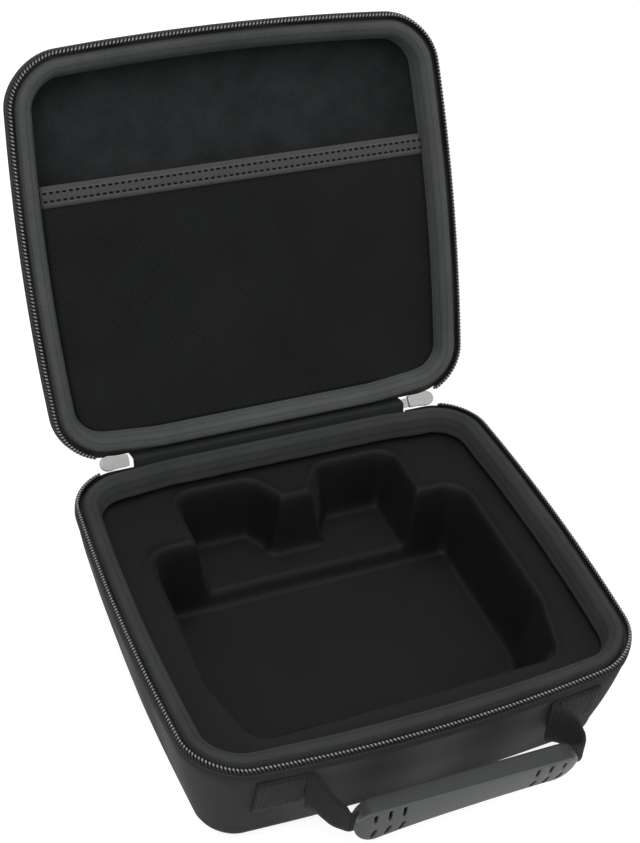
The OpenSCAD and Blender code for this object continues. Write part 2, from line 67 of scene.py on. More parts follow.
SHELL_IN, STEP, BAND_IN = 1.5, 7.6, 14.2
ZIP_END, HINGE_Y, HINGE_Z, LID_OPEN = 78.5, 106.0, 69.0, 115.2
SHELF_Z, HOLLOW_FLOOR, REAR_FLOOR = 54.0, 12.0, 20.0
SLIDER_X, SLIDER_TILT = 88.3, 46.7
GRIP_X, GRIP_Y, GRIP_Z, GRIP_LEAN = 9.3, -125.5, 34.5, 10.0
MOUTH, CHANNEL_Z, PATCH_Z = 58.9, 36.0, 44.0
WEB_W, WEB_T, CHANNEL_H, STRAP_BULGE = 25.0, 1.9, 12.6, 4.5
SLOT_FIRST, SLOT_PITCH, SLOT_ROW, SLOT_HALF_W = 34.2, 7.2, 5.5, 0.95
POCKET_Z, POCKET_EDGE, POCKET_BAND = 9.5, HINGE_Y - 146, 11
# The camera: azimuth, elevation and roll in degrees, then millimetres, and pixels of the picture.
CAMERA_TURN, CAMERA_AIM, CAMERA_FAR = (-28.84, 38.85, 7.24), (73.91, 99.81, 68.0), 957.38
CAMERA_FOCAL, CAMERA_SHIFT, PICTURE_H = 1725.05, (-80.9, -9.2), 843.0
TURN_UP = (Matrix.Translation((0, HINGE_Y, HINGE_Z))
           @ Matrix.Rotation(math.radians(-LID_OPEN), 4, "X")
           @ Matrix.Translation((0, -HINGE_Y, -HINGE_Z)))


# ---------------------------------------------------------------- sizes and colours

class CaseSizes(bpy.types.PropertyGroup):
    coil_pitch: bpy.props.FloatProperty(
        name="Coil pitch", description="Distance between two turns of the zip coil",
        default=0.00192, min=0.0015, max=0.003, subtype="DISTANCE", unit="LENGTH")
    rib_pitch: bpy.props.FloatProperty(
        name="Cover rib pitch", description="Distance between two ribs of the woven cover",
        default=0.0011, min=0.0005, max=0.003, subtype="DISTANCE", unit="LENGTH")
    herringbone: bpy.props.FloatProperty(
        name="Herringbone width", description="Width of one stripe of the herringbone binding",
        default=0.0042, min=0.002, max=0.01, subtype="DISTANCE", unit="LENGTH")
    stitch: bpy.props.FloatProperty(
        name="Stitch length", description="Length of one sewn stitch with its gap",
        default=0.0031, min=0.002, max=0.006, subtype="DISTANCE", unit="LENGTH")
    ridge: bpy.props.FloatProperty(
        name="Insert ridge",
        description="Height of the soft ridge round the hollows of the insert",
        default=0.0012, min=0, max=0.003, subtype="DISTANCE", unit="LENGTH")


def tint(label, words, hexcode):
    rgb = [int(hexcode[i:i + 2], 16) / 255 for i in (0, 2, 4)]
    lin = [c / 12.92 if c <= 0.04045 else ((c + 0.055) / 1.055) ** 2.4 for c in rgb]
    return bpy.props.FloatVectorProperty(name=label, description=words, size=3,
                                         default=lin, min=0, max=1, subtype="COLOR")


class CaseColours(bpy.types.PropertyGroup):
    cover: tint("Cover", "Woven cover of the moulded walls", "3b3b3d")
    binding: tint("Binding", "Herringbone binding of both rims", "3c3e3d")
    tape: tint("Tape", "Zip tape and hinge fabric", "2f3131")
    # The coil colour is a painted highlight: it lights the head of each turn of a black coil.
    coil: tint("Coil", "Heads of the zip coil", "9c9e9d")
    insert: tint("Insert", "Satin cloth of the insert", "131314")
    lining: tint("Lining", "Brushed lining of the lid", "2b2d2e")
    mesh: tint("Mesh", "Knitted mesh of the lid pocket", "262728")
    band: tint("Band", "Ribbed band of the lid pocket", "4c4c4b")
    webbing: tint("Webbing", "Handle webbing", "252627")
    grip: tint("Grip", "Moulded grip", "4b4d4d")
    metal: tint("Metal", "Sliders and pull tabs", "b9bab6")


def sizes():
    return bpy.context.scene.case_sizes


def colours():
    return bpy.context.scene.case_colours


# ---------------------------------------------------------------- shader maths

class Wire:
    """One output of a shader node; arithmetic on it adds Math nodes."""

    def __init__(self, nodes, socket):
        self.nodes, self.socket = nodes, socket

    def math(self, how, *others):
        values = {k: v for k, v in enumerate((self,) + others)}
        return self.nodes.add("ShaderNodeMath", {"operation": how}, values)

    def flip(self, how, other):
        return self.nodes.add("ShaderNodeMath", {"operation": how}, {0: other, 1: self})

    def __add__(self, o):
        return self.math("ADD", o)

    def __sub__(self, o):
        return self.math("SUBTRACT", o)

    def __rsub__(self, o):
        return self.flip("SUBTRACT", o)

    def __mul__(self, o):
        return self.math("MULTIPLY", o)

    def __truediv__(self, o):
        return self.math("DIVIDE", o)

    def __gt__(self, o):
        return self.math("GREATER_THAN", o)

    def __lt__(self, o):
        return self.math("LESS_THAN", o)

    def __abs__(self):
        return self.math("ABSOLUTE")

    __radd__ = __add__
    __rmul__ = __mul__

    def sin(self):
        return self.math("SINE")

    def fract(self):
        return self.math("FRACT")

    def power(self, o):
        return self.math("POWER", o)

    def clip(self):
        out = self.math("ADD", 0.0)
        out.socket.node.use_clamp = True
        return out


class Nodes:
    """A node tree under construction."""

    def __init__(self, tree):
        self.tree = tree

    def add(self, kind, settings=None, values=None, out=0):
        node = self.tree.nodes.new(kind)
        for key, value in (settings or {}).items():
            if key == "stops":
                for k, (place, tone) in enumerate(value):
                    ramp = node.color_ramp.elements
                    stop = ramp[k] if k < len(ramp) else ramp.new(place)
                    stop.position, stop.color = place, (tone, tone, tone, 1)
            else:
                setattr(node, key, value)
        for key, value in (values or {}).items():
            if isinstance(value, Wire):
                self.tree.links.new(value.socket, node.inputs[key])
            else:
                node.inputs[key].default_value = value
        return Wire(self, node.outputs[out])

    def output(self, wire, number):
        """Another output of the node that a wire comes from."""
        return Wire(self, wire.socket.node.outputs[number])


class Finish(Nodes):
    """A procedural material under construction."""

    def __init__(self, name, **even):
        self.material = bpy.data.materials.new(name)
        self.material.use_nodes = True
        super().__init__(self.material.node_tree)
        self.shader = self.tree.nodes["Principled BSDF"]
        for key, value in even.items():
            self.shader.inputs[key.replace("_", " ")].default_value = value

    def along_across(self):
        """Places along and across a strip, in millimetres, from its weave map."""
        uv = self.add("ShaderNodeUVMap", {"uv_map": "weave"})
        along = self.add("ShaderNodeSeparateXYZ", None, {0: uv})
        return along * 1000.0, self.output(along, 1) * 1000.0

    def place(self):
        """The point in the frame of the part, in millimetres."""
        at = self.add("ShaderNodeTexCoord", None, None, 3)
        return self.add("ShaderNodeVectorMath", {"operation": "SCALE"}, {0: at, "Scale": 1000.0})

    def cloudy(self, size, detail=3.0, rough=0.55, at=None):
        """Soft noise from 0 to 1, whose patches are size millimetres wide."""
        return self.add("ShaderNodeTexNoise", {"noise_dimensions": "3D"},
                        {"Vector": at or self.place(), "Scale": 1.0 / size,
                         "Detail": detail, "Roughness": rough})

    def colour(self, share, low, high):
        """A colour from low to high as share goes from 0 to 1."""
        mix = self.add("ShaderNodeMix", {"data_type": "RGBA"}, None, 2)
        node = mix.socket.node
        self.tree.links.new(share.socket, node.inputs[0])
        for k, tone in ((6, low), (7, high)):
            if isinstance(tone, Wire):
                self.tree.links.new(tone.socket, node.inputs[k])
            else:
                node.inputs[k].default_value = (*tone[:3], 1)
        return mix

    def set(self, key, wire):
        self.tree.links.new(wire.socket, self.shader.inputs[key])

    def bump(self, height, depth_mm):
        raised = self.add("ShaderNodeBump", None,
                          {"Height": height, "Strength": 1.0, "Distance": depth_mm * MM})
        self.set("Normal", raised)


def shade(tone, factor):
    return [min(1.0, c * factor) for c in tone]


def cover_finish():
    """Ribbed weave: fine upright ribs crossed by finer threads, with lighter worn places."""
    f = Finish("woven_cover", Roughness=0.78, Sheen_Weight=0.04, Sheen_Roughness=0.5,
               Specular_IOR_Level=0.14)
    u, v = f.along_across()
    pitch = sizes().rib_pitch / MM
    wobble = f.cloudy(9.0) * 0.7
    ribs = (u * (2 * math.pi / pitch) + wobble).sin() * 0.5 + 0.5
    picks = (v * (2 * math.pi / 0.75) + (u * (math.pi / pitch)).sin() * 1.5).sin() * 0.5 + 0.5
    weave = ribs * 0.72 + picks * 0.28
    cloud = f.cloudy(34.0, 4.0)
    fuzz = f.cloudy(1.1, 2.0)
    tone = (weave * 0.72 + cloud * 0.5 + fuzz * 0.3 - 0.24).clip()
    c = colours().cover
    f.set("Base Color", f.colour(tone, shade(c, 0.4), shade(c, 1.95)))
    f.set("Roughness", 0.84 - weave * 0.14)
    f.bump(weave + fuzz * 0.3, 0.2)
    return f.material


def binding_finish(name="herringbone_binding", factor=1.0):
    """Herringbone tape: slanted threads that turn at each stripe, with a spine."""
    f = Finish(name, Roughness=0.8, Sheen_Weight=0.03, Sheen_Roughness=0.45,
               Specular_IOR_Level=0.12)
    u, v = f.along_across()
    stripe = sizes().herringbone / MM
    fold = abs((v / stripe).fract() - 0.5) * stripe
    line = (u + fold * 1.7 + f.cloudy(7.0) * 0.8) * (2 * math.pi / 1.15)
    slant = line.sin() * 0.5 + 0.5
    spine = abs((v / stripe).fract() * 2.0 - 1.0).power(6.0)
    fuzz = f.cloudy(1.0, 2.0)
    cloud = f.cloudy(24.0, 3.0)
    tone = (slant * 0.6 + fuzz * 0.4 + cloud * 0.45 - spine * 0.3 - 0.2).clip()
    c = shade(colours().binding, factor)
    f.set("Base Color", f.colour(tone, shade(c, 0.42), shade(c, 1.8)))
    f.bump(slant * 0.7 - spine * 0.5 + fuzz * 0.4, 0.2)
    return f.material


def tape_finish(name="zip_tape", factor=1.0):
    """Plain weave tape with a fine basket of threads."""
    f = Finish(name, Roughness=0.8, Sheen_Weight=0.03, Specular_IOR_Level=0.12)
    u, v = f.along_across()
    warp = (u * (2 * math.pi / 0.8)).sin()
    weft = (v * (2 * math.pi / 0.8)).sin()
    basket = warp * weft * 0.5 + 0.5
    tone = (basket * 0.55 + f.cloudy(14.0) * 0.45).clip()
    c = shade(colours().tape, factor)
    f.set("Base Color", f.colour(tone, shade(c, 0.6), shade(c, 1.45)))
    f.bump(basket, 0.1)
    return f.material


def coil_finish():
    """Nylon coil: dark glossy turns, with a painted highlight on the head of each turn."""
    f = Finish("coil_with_painted_highlights", Roughness=0.32, Specular_IOR_Level=0.5, Coat_Weight=0.4,
               Coat_Roughness=0.2)
    # head marks the top of each turn, where the painted highlight colour goes.
    head = f.add("ShaderNodeAttribute", {"attribute_name": "head"}, None, 2)
    tone = (head * (f.cloudy(5.0) * 0.5 + 0.72)).clip()
    f.set("Base Color", f.colour(tone, (0.008, 0.008, 0.009), colours().coil))
    return f.material


def thread_finish(name="stitch_thread", factor=1.6):
    """Twisted sewing thread."""
    f = Finish(name, Roughness=0.6, Specular_IOR_Level=0.2)
    u, v = f.along_across()
    twist = ((u + v * 1.2) * (2 * math.pi / 0.6)).sin() * 0.5 + 0.5
    c = shade(colours().tape, factor)
    f.set("Base Color", f.colour(twist, shade(c, 0.7), shade(c, 1.3)))
    f.bump(twist, 0.05)
    return f.material


def insert_finish():
    """Satin knit over foam: nearly smooth, with a soft sheen and faint pulls."""
    f = Finish("insert_satin", Roughness=0.55, Sheen_Weight=0.04, Sheen_Roughness=0.35,
               Specular_IOR_Level=0.2)
    knit = f.cloudy(0.55, 2.0)
    pulls = f.cloudy(16.0, 4.0)
    tone = (knit * 0.35 + pulls * 0.6).clip()
    c = colours().insert
    f.set("Base Color", f.colour(tone, shade(c, 0.65), shade(c, 1.4)))
    f.set("Roughness", 0.5 + pulls * 0.18)
    f.bump(knit * 0.5 + pulls * 0.8, 0.12)
    return f.material


def lining_finish():
    """Brushed cloth with a blotchy nap."""
    f = Finish("brushed_lining", Roughness=0.92, Sheen_Weight=0.03, Sheen_Roughness=0.6,
               Specular_IOR_Level=0.04)
    nap = f.cloudy(1.3, 3.0, 0.7)
    blotch = f.cloudy(15.0, 3.0, 0.6)
    tone = (nap * 0.6 + blotch * 0.9 - 0.28).clip()
    c = colours().lining
    f.set("Base Color", f.colour(tone, shade(c, 0.5), shade(c, 1.7)))
    f.bump(nap + blotch * 0.6, 0.2)
    return f.material


def mesh_finish():
    """Fine knitted mesh: rows of small dark holes between slanted threads."""
    f = Finish("knitted_mesh", Roughness=0.85, Sheen_Weight=0.02, Specular_IOR_Level=0.06)
    u, v = f.along_across()
    a = ((u + v * 0.75) * (2 * math.pi / 1.5)).sin()
    b = ((u - v * 0.75) * (2 * math.pi / 1.5)).sin()
    hole = (a * b * 0.5 + 0.5).power(1.6)
    cloud = f.cloudy(45.0, 2.0)
    tone = (hole * 0.9 + cloud * 0.4 - 0.15).clip()
    c = colours().mesh
    f.set("Base Color", f.colour(tone, shade(c, 0.3), shade(c, 1.7)))
    f.bump(hole, 0.22)
    return f.material


def band_finish():
    """Grosgrain band: fine cross ribs with two rows of dark dashes beside pale lines."""
    f = Finish("ribbed_band", Roughness=0.75, Sheen_Weight=0.03, Specular_IOR_Level=0.08)
    u, v = f.along_across()
    ribs = (u * (2 * math.pi / 0.9)).sin() * 0.5 + 0.5
    dash = ((u / 3.4).fract() > 0.42) * (
        (abs(v - 3.4) < 0.55) + (abs(v - 7.6) < 0.55))
    pale = (abs(v - 2.4) < 0.28) + (abs(v - 8.6) < 0.28)
    fuzz = f.cloudy(1.2, 2.0)
    tone = (ribs * 0.3 + fuzz * 0.4 + pale * 0.35 + 0.1).clip()
    c = colours().band
    plain = f.colour(tone, shade(c, 0.62), shade(c, 1.6))
    f.set("Base Color", f.colour(dash.clip(), plain, (0.004, 0.004, 0.004)))
    f.bump(ribs * 0.6 + fuzz * 0.3 - dash * 0.8, 0.12)
    return f.material


def webbing_finish():
    """Flat webbing: close ribs across its width."""
    f = Finish("handle_webbing", Roughness=0.7, Sheen_Weight=0.03, Specular_IOR_Level=0.14)
    u, v = f.along_across()
    ribs = (u * (2 * math.pi / 1.4)).sin() * 0.5 + 0.5
    twill = ((v + u * 0.5) * (2 * math.pi / 1.0)).sin() * 0.5 + 0.5
    fuzz = f.cloudy(1.0, 2.0)
    tone = (ribs * 0.6 + twill * 0.2 + fuzz * 0.35 - 0.1).clip()
    c = colours().webbing
    f.set("Base Color", f.colour(tone, shade(c, 0.5), shade(c, 1.8)))
    f.bump(ribs + twill * 0.4, 0.16)
    return f.material


def grip_finish(name="grip_plastic", factor=1.0):
    """Satin moulded plastic: a fine spark texture, painted shade on the faces that look up and a
    painted highlight along its front edge.
    """
    f = Finish(name, Roughness=0.42, Specular_IOR_Level=0.3)
    grain = f.cloudy(0.45, 2.0)
    wear = f.cloudy(22.0, 4.0)
    facing = f.add("ShaderNodeSeparateXYZ", None,
                   {0: f.add("ShaderNodeTexCoord", None, None, 1)}, 2)
    # Painted shade: faces that look up get a darker colour.
    above = ((facing - 0.62) * 6.0).clip()
    # Painted highlight: a pale line on the bevel between the front and the top, made uneven by the
    # wear noise.
    edge = (1.0 - abs(facing - 0.42) * 7.0).clip()
    c = shade(colours().grip, factor)
    plain = f.colour((grain * 0.35 + wear * 0.6).clip(), shade(c, 0.92), shade(c, 1.4))
    dark = f.colour(above, plain, shade(c, 0.55))
    f.set("Base Color", f.colour(edge * (0.35 + wear * 0.6), dark, shade(c, 3.2)))
    f.set("Roughness", 0.36 + wear * 0.16)
    f.bump(grain, 0.03)
    return f.material


def metal_finish():
    """Satin nickel with fine scratches."""
    f = Finish("satin_nickel", Metallic=0.85, Roughness=0.36)
    fine = f.cloudy(0.35, 3.0)
    smudge = f.cloudy(4.0, 3.0)
    c = colours().metal
    tone = (fine * 0.4 + smudge * 0.5).clip()
    f.set("Base Color", f.colour(tone, shade(c, 0.8), shade(c, 1.25)))
    f.set("Roughness", 0.3 + smudge * 0.22)
    f.bump(fine, 0.015)
    return f.material


MADE = {}


def finish(maker, *args, **named):
    """Each finish is made once and shared."""
    key = (maker.__name__, args, tuple(sorted(named.items())))
    if key not in MADE:
        MADE[key] = maker(*args, **named)
    return MADE[key]


# ---------------------------------------------------------------- the rim's outline

def smooth(x):
    x = np.clip(x, 0, 1)
    return x * x * (3 - 2 * x)


class Outline:
    """The seam seen from above, counterclockwise from the middle of the hinge side."""

    def __init__(self, count=440):
        r, ax, ay = CORNER, HALF_W - CORNER, HALF_D - CORNER
        path = []

        def run(a, b):
            path.extend(a + (b - a) * t for t in np.linspace(0, 1, 160, endpoint=False)[:, None])

        def turn(cx, cy, a0):
            for t in np.linspace(0, math.pi / 2, 60, endpoint=False):
                path.append(np.array([cx + r * math.cos(a0 + t), cy + r * math.sin(a0 + t)]))

        run(np.array([0, HALF_D]), np.array([-ax, HALF_D]))
        turn(-ax, ay, math.pi / 2)
        run(np.array([-HALF_W, ay]), np.array([-HALF_W, -ay]))
        turn(-ax, -ay, math.pi)
        run(np.array([-ax, -HALF_D]), np.array([ax, -HALF_D]))
        turn(ax, -ay, 1.5 * math.pi)
        run(np.array([HALF_W, -ay]), np.array([HALF_W, ay]))
        turn(ax, ay, 0.0)
        run(np.array([ax, HALF_D]), np.array([0, HALF_D]))
        p = np.array(path)
        u, v = p[:, 0] / HALF_W, p[:, 1] / HALF_D
        front = np.clip(-v, 0, 1) ** 3
        q = np.c_[p[:, 0] + np.sign(u) * SIDE_BOW * (1 - v * v) * np.abs(u) ** 3,
                  p[:, 1] - FRONT_BOW * (1 - u * u) * front]
        dip = (1 - u * u) * front
        step = np.linalg.norm(np.diff(np.r_[q, q[:1]], axis=0), axis=1)
        way = np.r_[0, np.cumsum(step)]
        self.length = way[-1]
        near = np.minimum(way[:-1], self.length - way[:-1])
        trim = 1 - smooth((near - 0.72 * ZIP_END) / (0.52 * ZIP_END))
        wrap = [np.r_[a, a[:1]] for a in (q[:, 0], q[:, 1], dip, trim)]
        self.lookup = lambda s: [np.interp(np.mod(s, self.length), way, a) for a in wrap]
        self.way = np.linspace(0, self.length, count, endpoint=False)

    def frames(self, s):
        """Place, outward direction, dip and trim at distances s."""
        x, y, dip, trim = self.lookup(s)
        e = 1.2
        xa, ya = self.lookup(s - e)[:2]
        xb, yb = self.lookup(s + e)[:2]
        t = np.c_[xb - xa, yb - ya]
        t /= np.linalg.norm(t, axis=1)[:, None]
        return np.c_[x, y], np.c_[t[:, 1], -t[:, 0]], dip, trim

    def ring(self, s, inset, depth, dip, trim=0.0, up=1):
        """Points at that inset and depth; up is 1 for the base and -1 for the lid."""
        p, out, d, t = self.frames(s)
        q = p - out * (inset - trim * HINGE_TRIM * t)[:, None]
        return np.c_[q, BASE_H - up * depth - d * dip]


RIM = Outline()


def lean(s, h):
    q = s / h
    return LEAN * s - SWELL * 4 * q * (1 - q)


def rim_dip(inset):
    share = np.clip((np.asarray(inset, float) - SHELL_IN) / (RIM_W - 1 - SHELL_IN), 0, 1)
    return FRONT_DIP * (1 - DIP_FADE * share)


def wall_dip(s, fade):
    return FRONT_DIP * max(0.0, 1 - max(0.0, s - STEP) / (fade - STEP))


def between(a, b, c, d, t):
    """The Catmull-Rom curve through four points, at share t of the way from b to c."""
    return 0.5 * (2 * b + (c - a) * t + (2 * a - 5 * b + 4 * c - d) * t * t
                  + (3 * b - a - 3 * c + d) * t ** 3)


def rounded(points, steps=4):
    """A closed Catmull-Rom curve through the given rows of numbers."""
    p = np.asarray(points, float)
    n = len(p)
    return np.array([between(p[i - 1], p[i], p[(i + 1) % n], p[(i + 2) % n], t)
                     for i in range(n) for t in np.linspace(0, 1, steps, endpoint=False)])


# ---------------------------------------------------------------- mesh helpers

def make(name, points, faces, material, weave=None, lid=False, soft=True, values=None):
    """A piece from points in millimetres; weave gives each face corner its place in metres."""
    pts = [Vector(p) for p in points]
    if lid:
        pts = [TURN_UP @ p for p in pts]
    mesh = bpy.data.meshes.new(name)
    mesh.from_pydata([tuple(p * MM) for p in pts], [], faces)
    if weave is not None:
        layer = mesh.uv_layers.new(name="weave")
        flat = np.array([weave[f][k] for f in range(len(faces)) for k in range(len(faces[f]))],
                        float).reshape(-1, 2)
        layer.data.foreach_set("uv", flat.ravel())
    for key, numbers in (values or {}).items():
        mesh.attributes.new(key, "FLOAT", "POINT").data.foreach_set(
            "value", np.asarray(numbers, np.float32))
    mesh.materials.append(material)
    mesh.polygons.foreach_set("use_smooth", [soft] * len(mesh.polygons))
    mesh.validate()
    mesh.update()
    obj = bpy.data.objects.new(name, mesh)
    bpy.context.scene.collection.objects.link(obj)
    return obj


def outward(obj):
    """Turns all faces of a closed piece outward."""
    bm = bmesh.new()
    bm.from_mesh(obj.data)
    bmesh.ops.recalc_face_normals(bm, faces=bm.faces)
    bm.to_mesh(obj.data)
    bm.free()
    return obj


def strip(rows, closed_way=True, closed_section=True, caps=True, way=None):
    """Faces and weave places over rows of points: rows[j][i] is section point j at way place i."""
    rows = np.asarray(rows, float)
    m, n = rows.shape[:2]
    if way is None:
        way = np.r_[0, np.cumsum(np.linalg.norm(np.diff(rows[0], axis=0), axis=1))]
        if closed_way:
            way = np.r_[way, way[-1] + np.linalg.norm(rows[0][0] - rows[0][-1])]
    across = np.r_[0, np.cumsum(np.linalg.norm(np.diff(rows, axis=0), axis=2).mean(1))]
    across = np.r_[across, across[-1] + np.linalg.norm(rows[0] - rows[-1], axis=1).mean()]
    faces, weave = [], []
    for j in range(m if closed_section else m - 1):
        k = (j + 1) % m
        for i in range(n if closed_way else n - 1):
            l = (i + 1) % n
            faces.append((j * n + i, j * n + l, k * n + l, k * n + i))
            weave.append(tuple((way[g] * MM, across[h] * MM)
                               for g, h in ((i, j), (i + 1, j), (i + 1, j + 1), (i, j + 1))))
    if caps and closed_section and not closed_way:
        for i, order in ((0, range(m - 1, -1, -1)), (n - 1, range(m))):
            faces.append(tuple(j * n + i for j in order))
            weave.append(tuple((way[i] * MM, across[j] * MM) for j in order))
    return rows.reshape(-1, 3), faces, weave


def tube(path, radius, sides=6, closed=False):
    """Rows of a tube round a path; radius may change along it."""
    p = np.asarray(path, float)
    n = len(p)
    if closed:
        t = np.roll(p, -1, 0) - np.roll(p, 1, 0)
    else:
        t = np.gradient(p, axis=0)
    t /= np.linalg.norm(t, axis=1)[:, None]
    side = np.cross(t, np.array([0.13, 0.31, 1.0]))
    side /= np.linalg.norm(side, axis=1)[:, None]
    over = np.cross(side, t)
    r = np.broadcast_to(np.asarray(radius, float), n)
    return [p + (side * math.cos(a) + over * math.sin(a)) * r[:, None]
            for a in np.linspace(0, 2 * math.pi, sides, endpoint=False)]


def prism(outline, z0, z1, bevel=0.25):
    """Points and faces of a plate with that outline and softened edges."""
    o = np.asarray(outline, float)
    n = len(o)
    t = np.roll(o, -1, 0) - np.roll(o, 1, 0)
    t /= np.linalg.norm(t, axis=1)[:, None]
    inward = np.c_[-t[:, 1], t[:, 0]]
    rows = []
    for inset, z in ((bevel, z0), (bevel * 0.3, z0 + bevel * 0.3), (0, z0 + bevel),
                     (0, z1 - bevel), (bevel * 0.3, z1 - bevel * 0.3), (bevel, z1)):
        rows.append(np.c_[o + inward * inset, np.full(n, z)])
    pts = np.concatenate(rows)
    faces = [tuple(range(n - 1, -1, -1))]
    for j in range(len(rows) - 1):
        for i in range(n):
            k = (i + 1) % n
            faces.append((j * n + i, j * n + k, (j + 1) * n + k, (j + 1) * n + i))
    faces.append(tuple((len(rows) - 1) * n + i for i in range(n)))
    return pts, faces


def joined(parts):
    """One list of points and faces out of several."""
    pts, faces, start = [], [], 0
    for p, f in parts:
        pts.append(np.asarray(p, float))
        faces.extend(tuple(i + start for i in face) for face in f)
        start += len(p)
    return np.concatenate(pts), faces


def stitches(centres, runs, outs, length, width=0.5, height=0.28):
    """Short rounded stitches: centre, direction of the run, and outward direction of each."""
    parts = []
    shape = [(-0.5, 0.0), (-0.42, 0.75), (-0.2, 1.0), (0.2, 1.0), (0.42, 0.75), (0.5, 0.0)]
    for c, t, o in zip(np.asarray(centres), np.asarray(runs), np.asarray(outs)):
        s = np.cross(t, o)
        rows = []
        for along, high in shape:
            rows.append([c + t * along * length + o * (high * height - 0.1)
                         * math.cos(a) + s * math.sin(a) * width / 2 * (0.4 + 0.6 * high)
                         for a in np.linspace(-math.pi / 2, math.pi / 2, 5)])
        rows = np.array(rows).reshape(-1, 3)
        n, m = 5, len(shape)
        faces = [(j * n + i, j * n + i + 1, (j + 1) * n + i + 1, (j + 1) * n + i)
                 for j in range(m - 1) for i in range(n - 1)]
        faces += [(j * n + n - 1, j * n, (j + 1) * n, (j + 1) * n + n - 1) for j in range(m - 1)]
        faces += [tuple(range(n - 1, -1, -1)), tuple((m - 1) * n + i for i in range(n))]
        parts.append((rows, faces))
    return joined(parts)


def dress(obj, body, slot, *nodes):
    """Gives a finished piece its body and hides the nodes it stands for; slot is not used."""
    if nodes:
        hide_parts(*nodes)
    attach(obj, body)
    return obj


def plain_weave(faces, points):
    """Weave places for small pieces, straight from two of their axes."""
    return [[((points[i][0] + points[i][1]) * MM, points[i][2] * MM) for i in f] for f in faces]


# ---------------------------------------------------------------- covers of the two shells

def shell_rows(h, edge, up):
    """Sections of a moulded shell, from the middle of its outside to the middle of its inside."""
    f = h - edge
    li = lean(f, h)
    way = RIM.way
    rows = []

    def ring(inset, depth, dip=0.0, trim=0.0):
        rows.append(RIM.ring(way, inset, depth, dip, trim, up))

    def shrink(share, ring_, depth):
        q = ring_.copy()
        q[:, :2] *= share
        q[:, 2] = BASE_H - up * depth
        return q

    low = RIM.ring(way, li + edge, h, 0, 0, up)
    rows += [shrink(k, low, h) for k in (0.02, 0.35, 0.7)]
    for a in np.radians([90, 72, 54, 36, 18, 0]):
        ring(li + edge * (1 - math.cos(a)), f + edge * math.sin(a))
    for s in np.linspace(f, STEP + 0.4, 9 if up > 0 else 5)[1:]:
        ring(lean(s, h) - 0.25 * smooth(1 - (s - STEP) / 6.0), s, wall_dip(s, f))
    ring(0.75, STEP - 0.2, FRONT_DIP)
    ring(SHELL_IN, STEP - 0.6, FRONT_DIP)
    ring(SHELL_IN, LAND, FRONT_DIP)
    ring(RIM_W - 1, LAND, float(rim_dip(RIM_W)), 1)
    ring(RIM_W + 0.3, BAND_H, float(rim_dip(RIM_W)), 1)
    ring(lean(BAND_H + 1.5, h) + WALL, BAND_H + 1.5)
    for a in np.radians([0, 45, 90]):
        ring(li + WALL + (edge - WALL) * (1 - math.cos(a)), f + (edge - WALL) * math.sin(a))
    inner = rows[-1]
    rows += [shrink(k, inner, h - WALL) for k in (0.6, 0.02)]
    return rows


def ripple(rows, up, amount=0.22):
    """The soft unevenness of cloth glued over a moulded wall."""
    out = []
    for j, row in enumerate(rows):
        row = row.copy()
        depth = (BASE_H - row[:, 2]) * up
        gate = smooth((depth - 9) / 8) * (j < len(rows) - 12)
        mid = row[:, :2] / np.maximum(np.linalg.norm(row[:, :2], axis=1), 1)[:, None]
        swell = np.array([noise.noise(Vector((p[0] * 0.035, p[1] * 0.035, p[2] * 0.05)))
                          for p in row])
        row[:, :2] += mid * (swell * amount * gate)[:, None]
        out.append(row)
    return out


def capped(rows):
    """A closed skin over the rows, with its two middles filled."""
    pts, faces, weave = strip(rows, True, False)
    n = rows[0].shape[0]
    last = (len(rows) - 1) * n
    faces.append(tuple(range(n - 1, -1, -1)))
    weave.append(tuple((pts[i][0] * MM, pts[i][1] * MM) for i in range(n - 1, -1, -1)))
    faces.append(tuple(last + i for i in range(n)))
    weave.append(tuple((pts[last + i][0] * MM, pts[last + i][1] * MM) for i in range(n)))
    return pts, faces, weave


class CASE_OT_covers(bpy.types.Operator):
    """Makes the woven covers of the base and the lid"""
    bl_idname = "case.covers"
    bl_label = "Woven covers"

    def execute(self, context):
        for name, node, h, edge, up, body in (
                ("base_cover", "base_shell", BASE_H, BASE_EDGE, 1, "base"),
                ("lid_cover", "lid_shell", LID_H, LID_EDGE, -1, "lid")):
            rows = ripple(shell_rows(h, edge, up), up)
            pts, faces, weave = capped(rows)
            obj = make(name, pts, faces, finish(cover_finish), weave, up < 0)
            dress(outward(obj), body, "case_fabric", node)
        return {"FINISHED"}


# ---------------------------------------------------------------- zip

def open_way(step, skip):
    """Places along the rim from one end of the zip to the other."""
    a, b = skip, RIM.length - skip
    return np.linspace(a, b, int((b - a) / step) + 1)


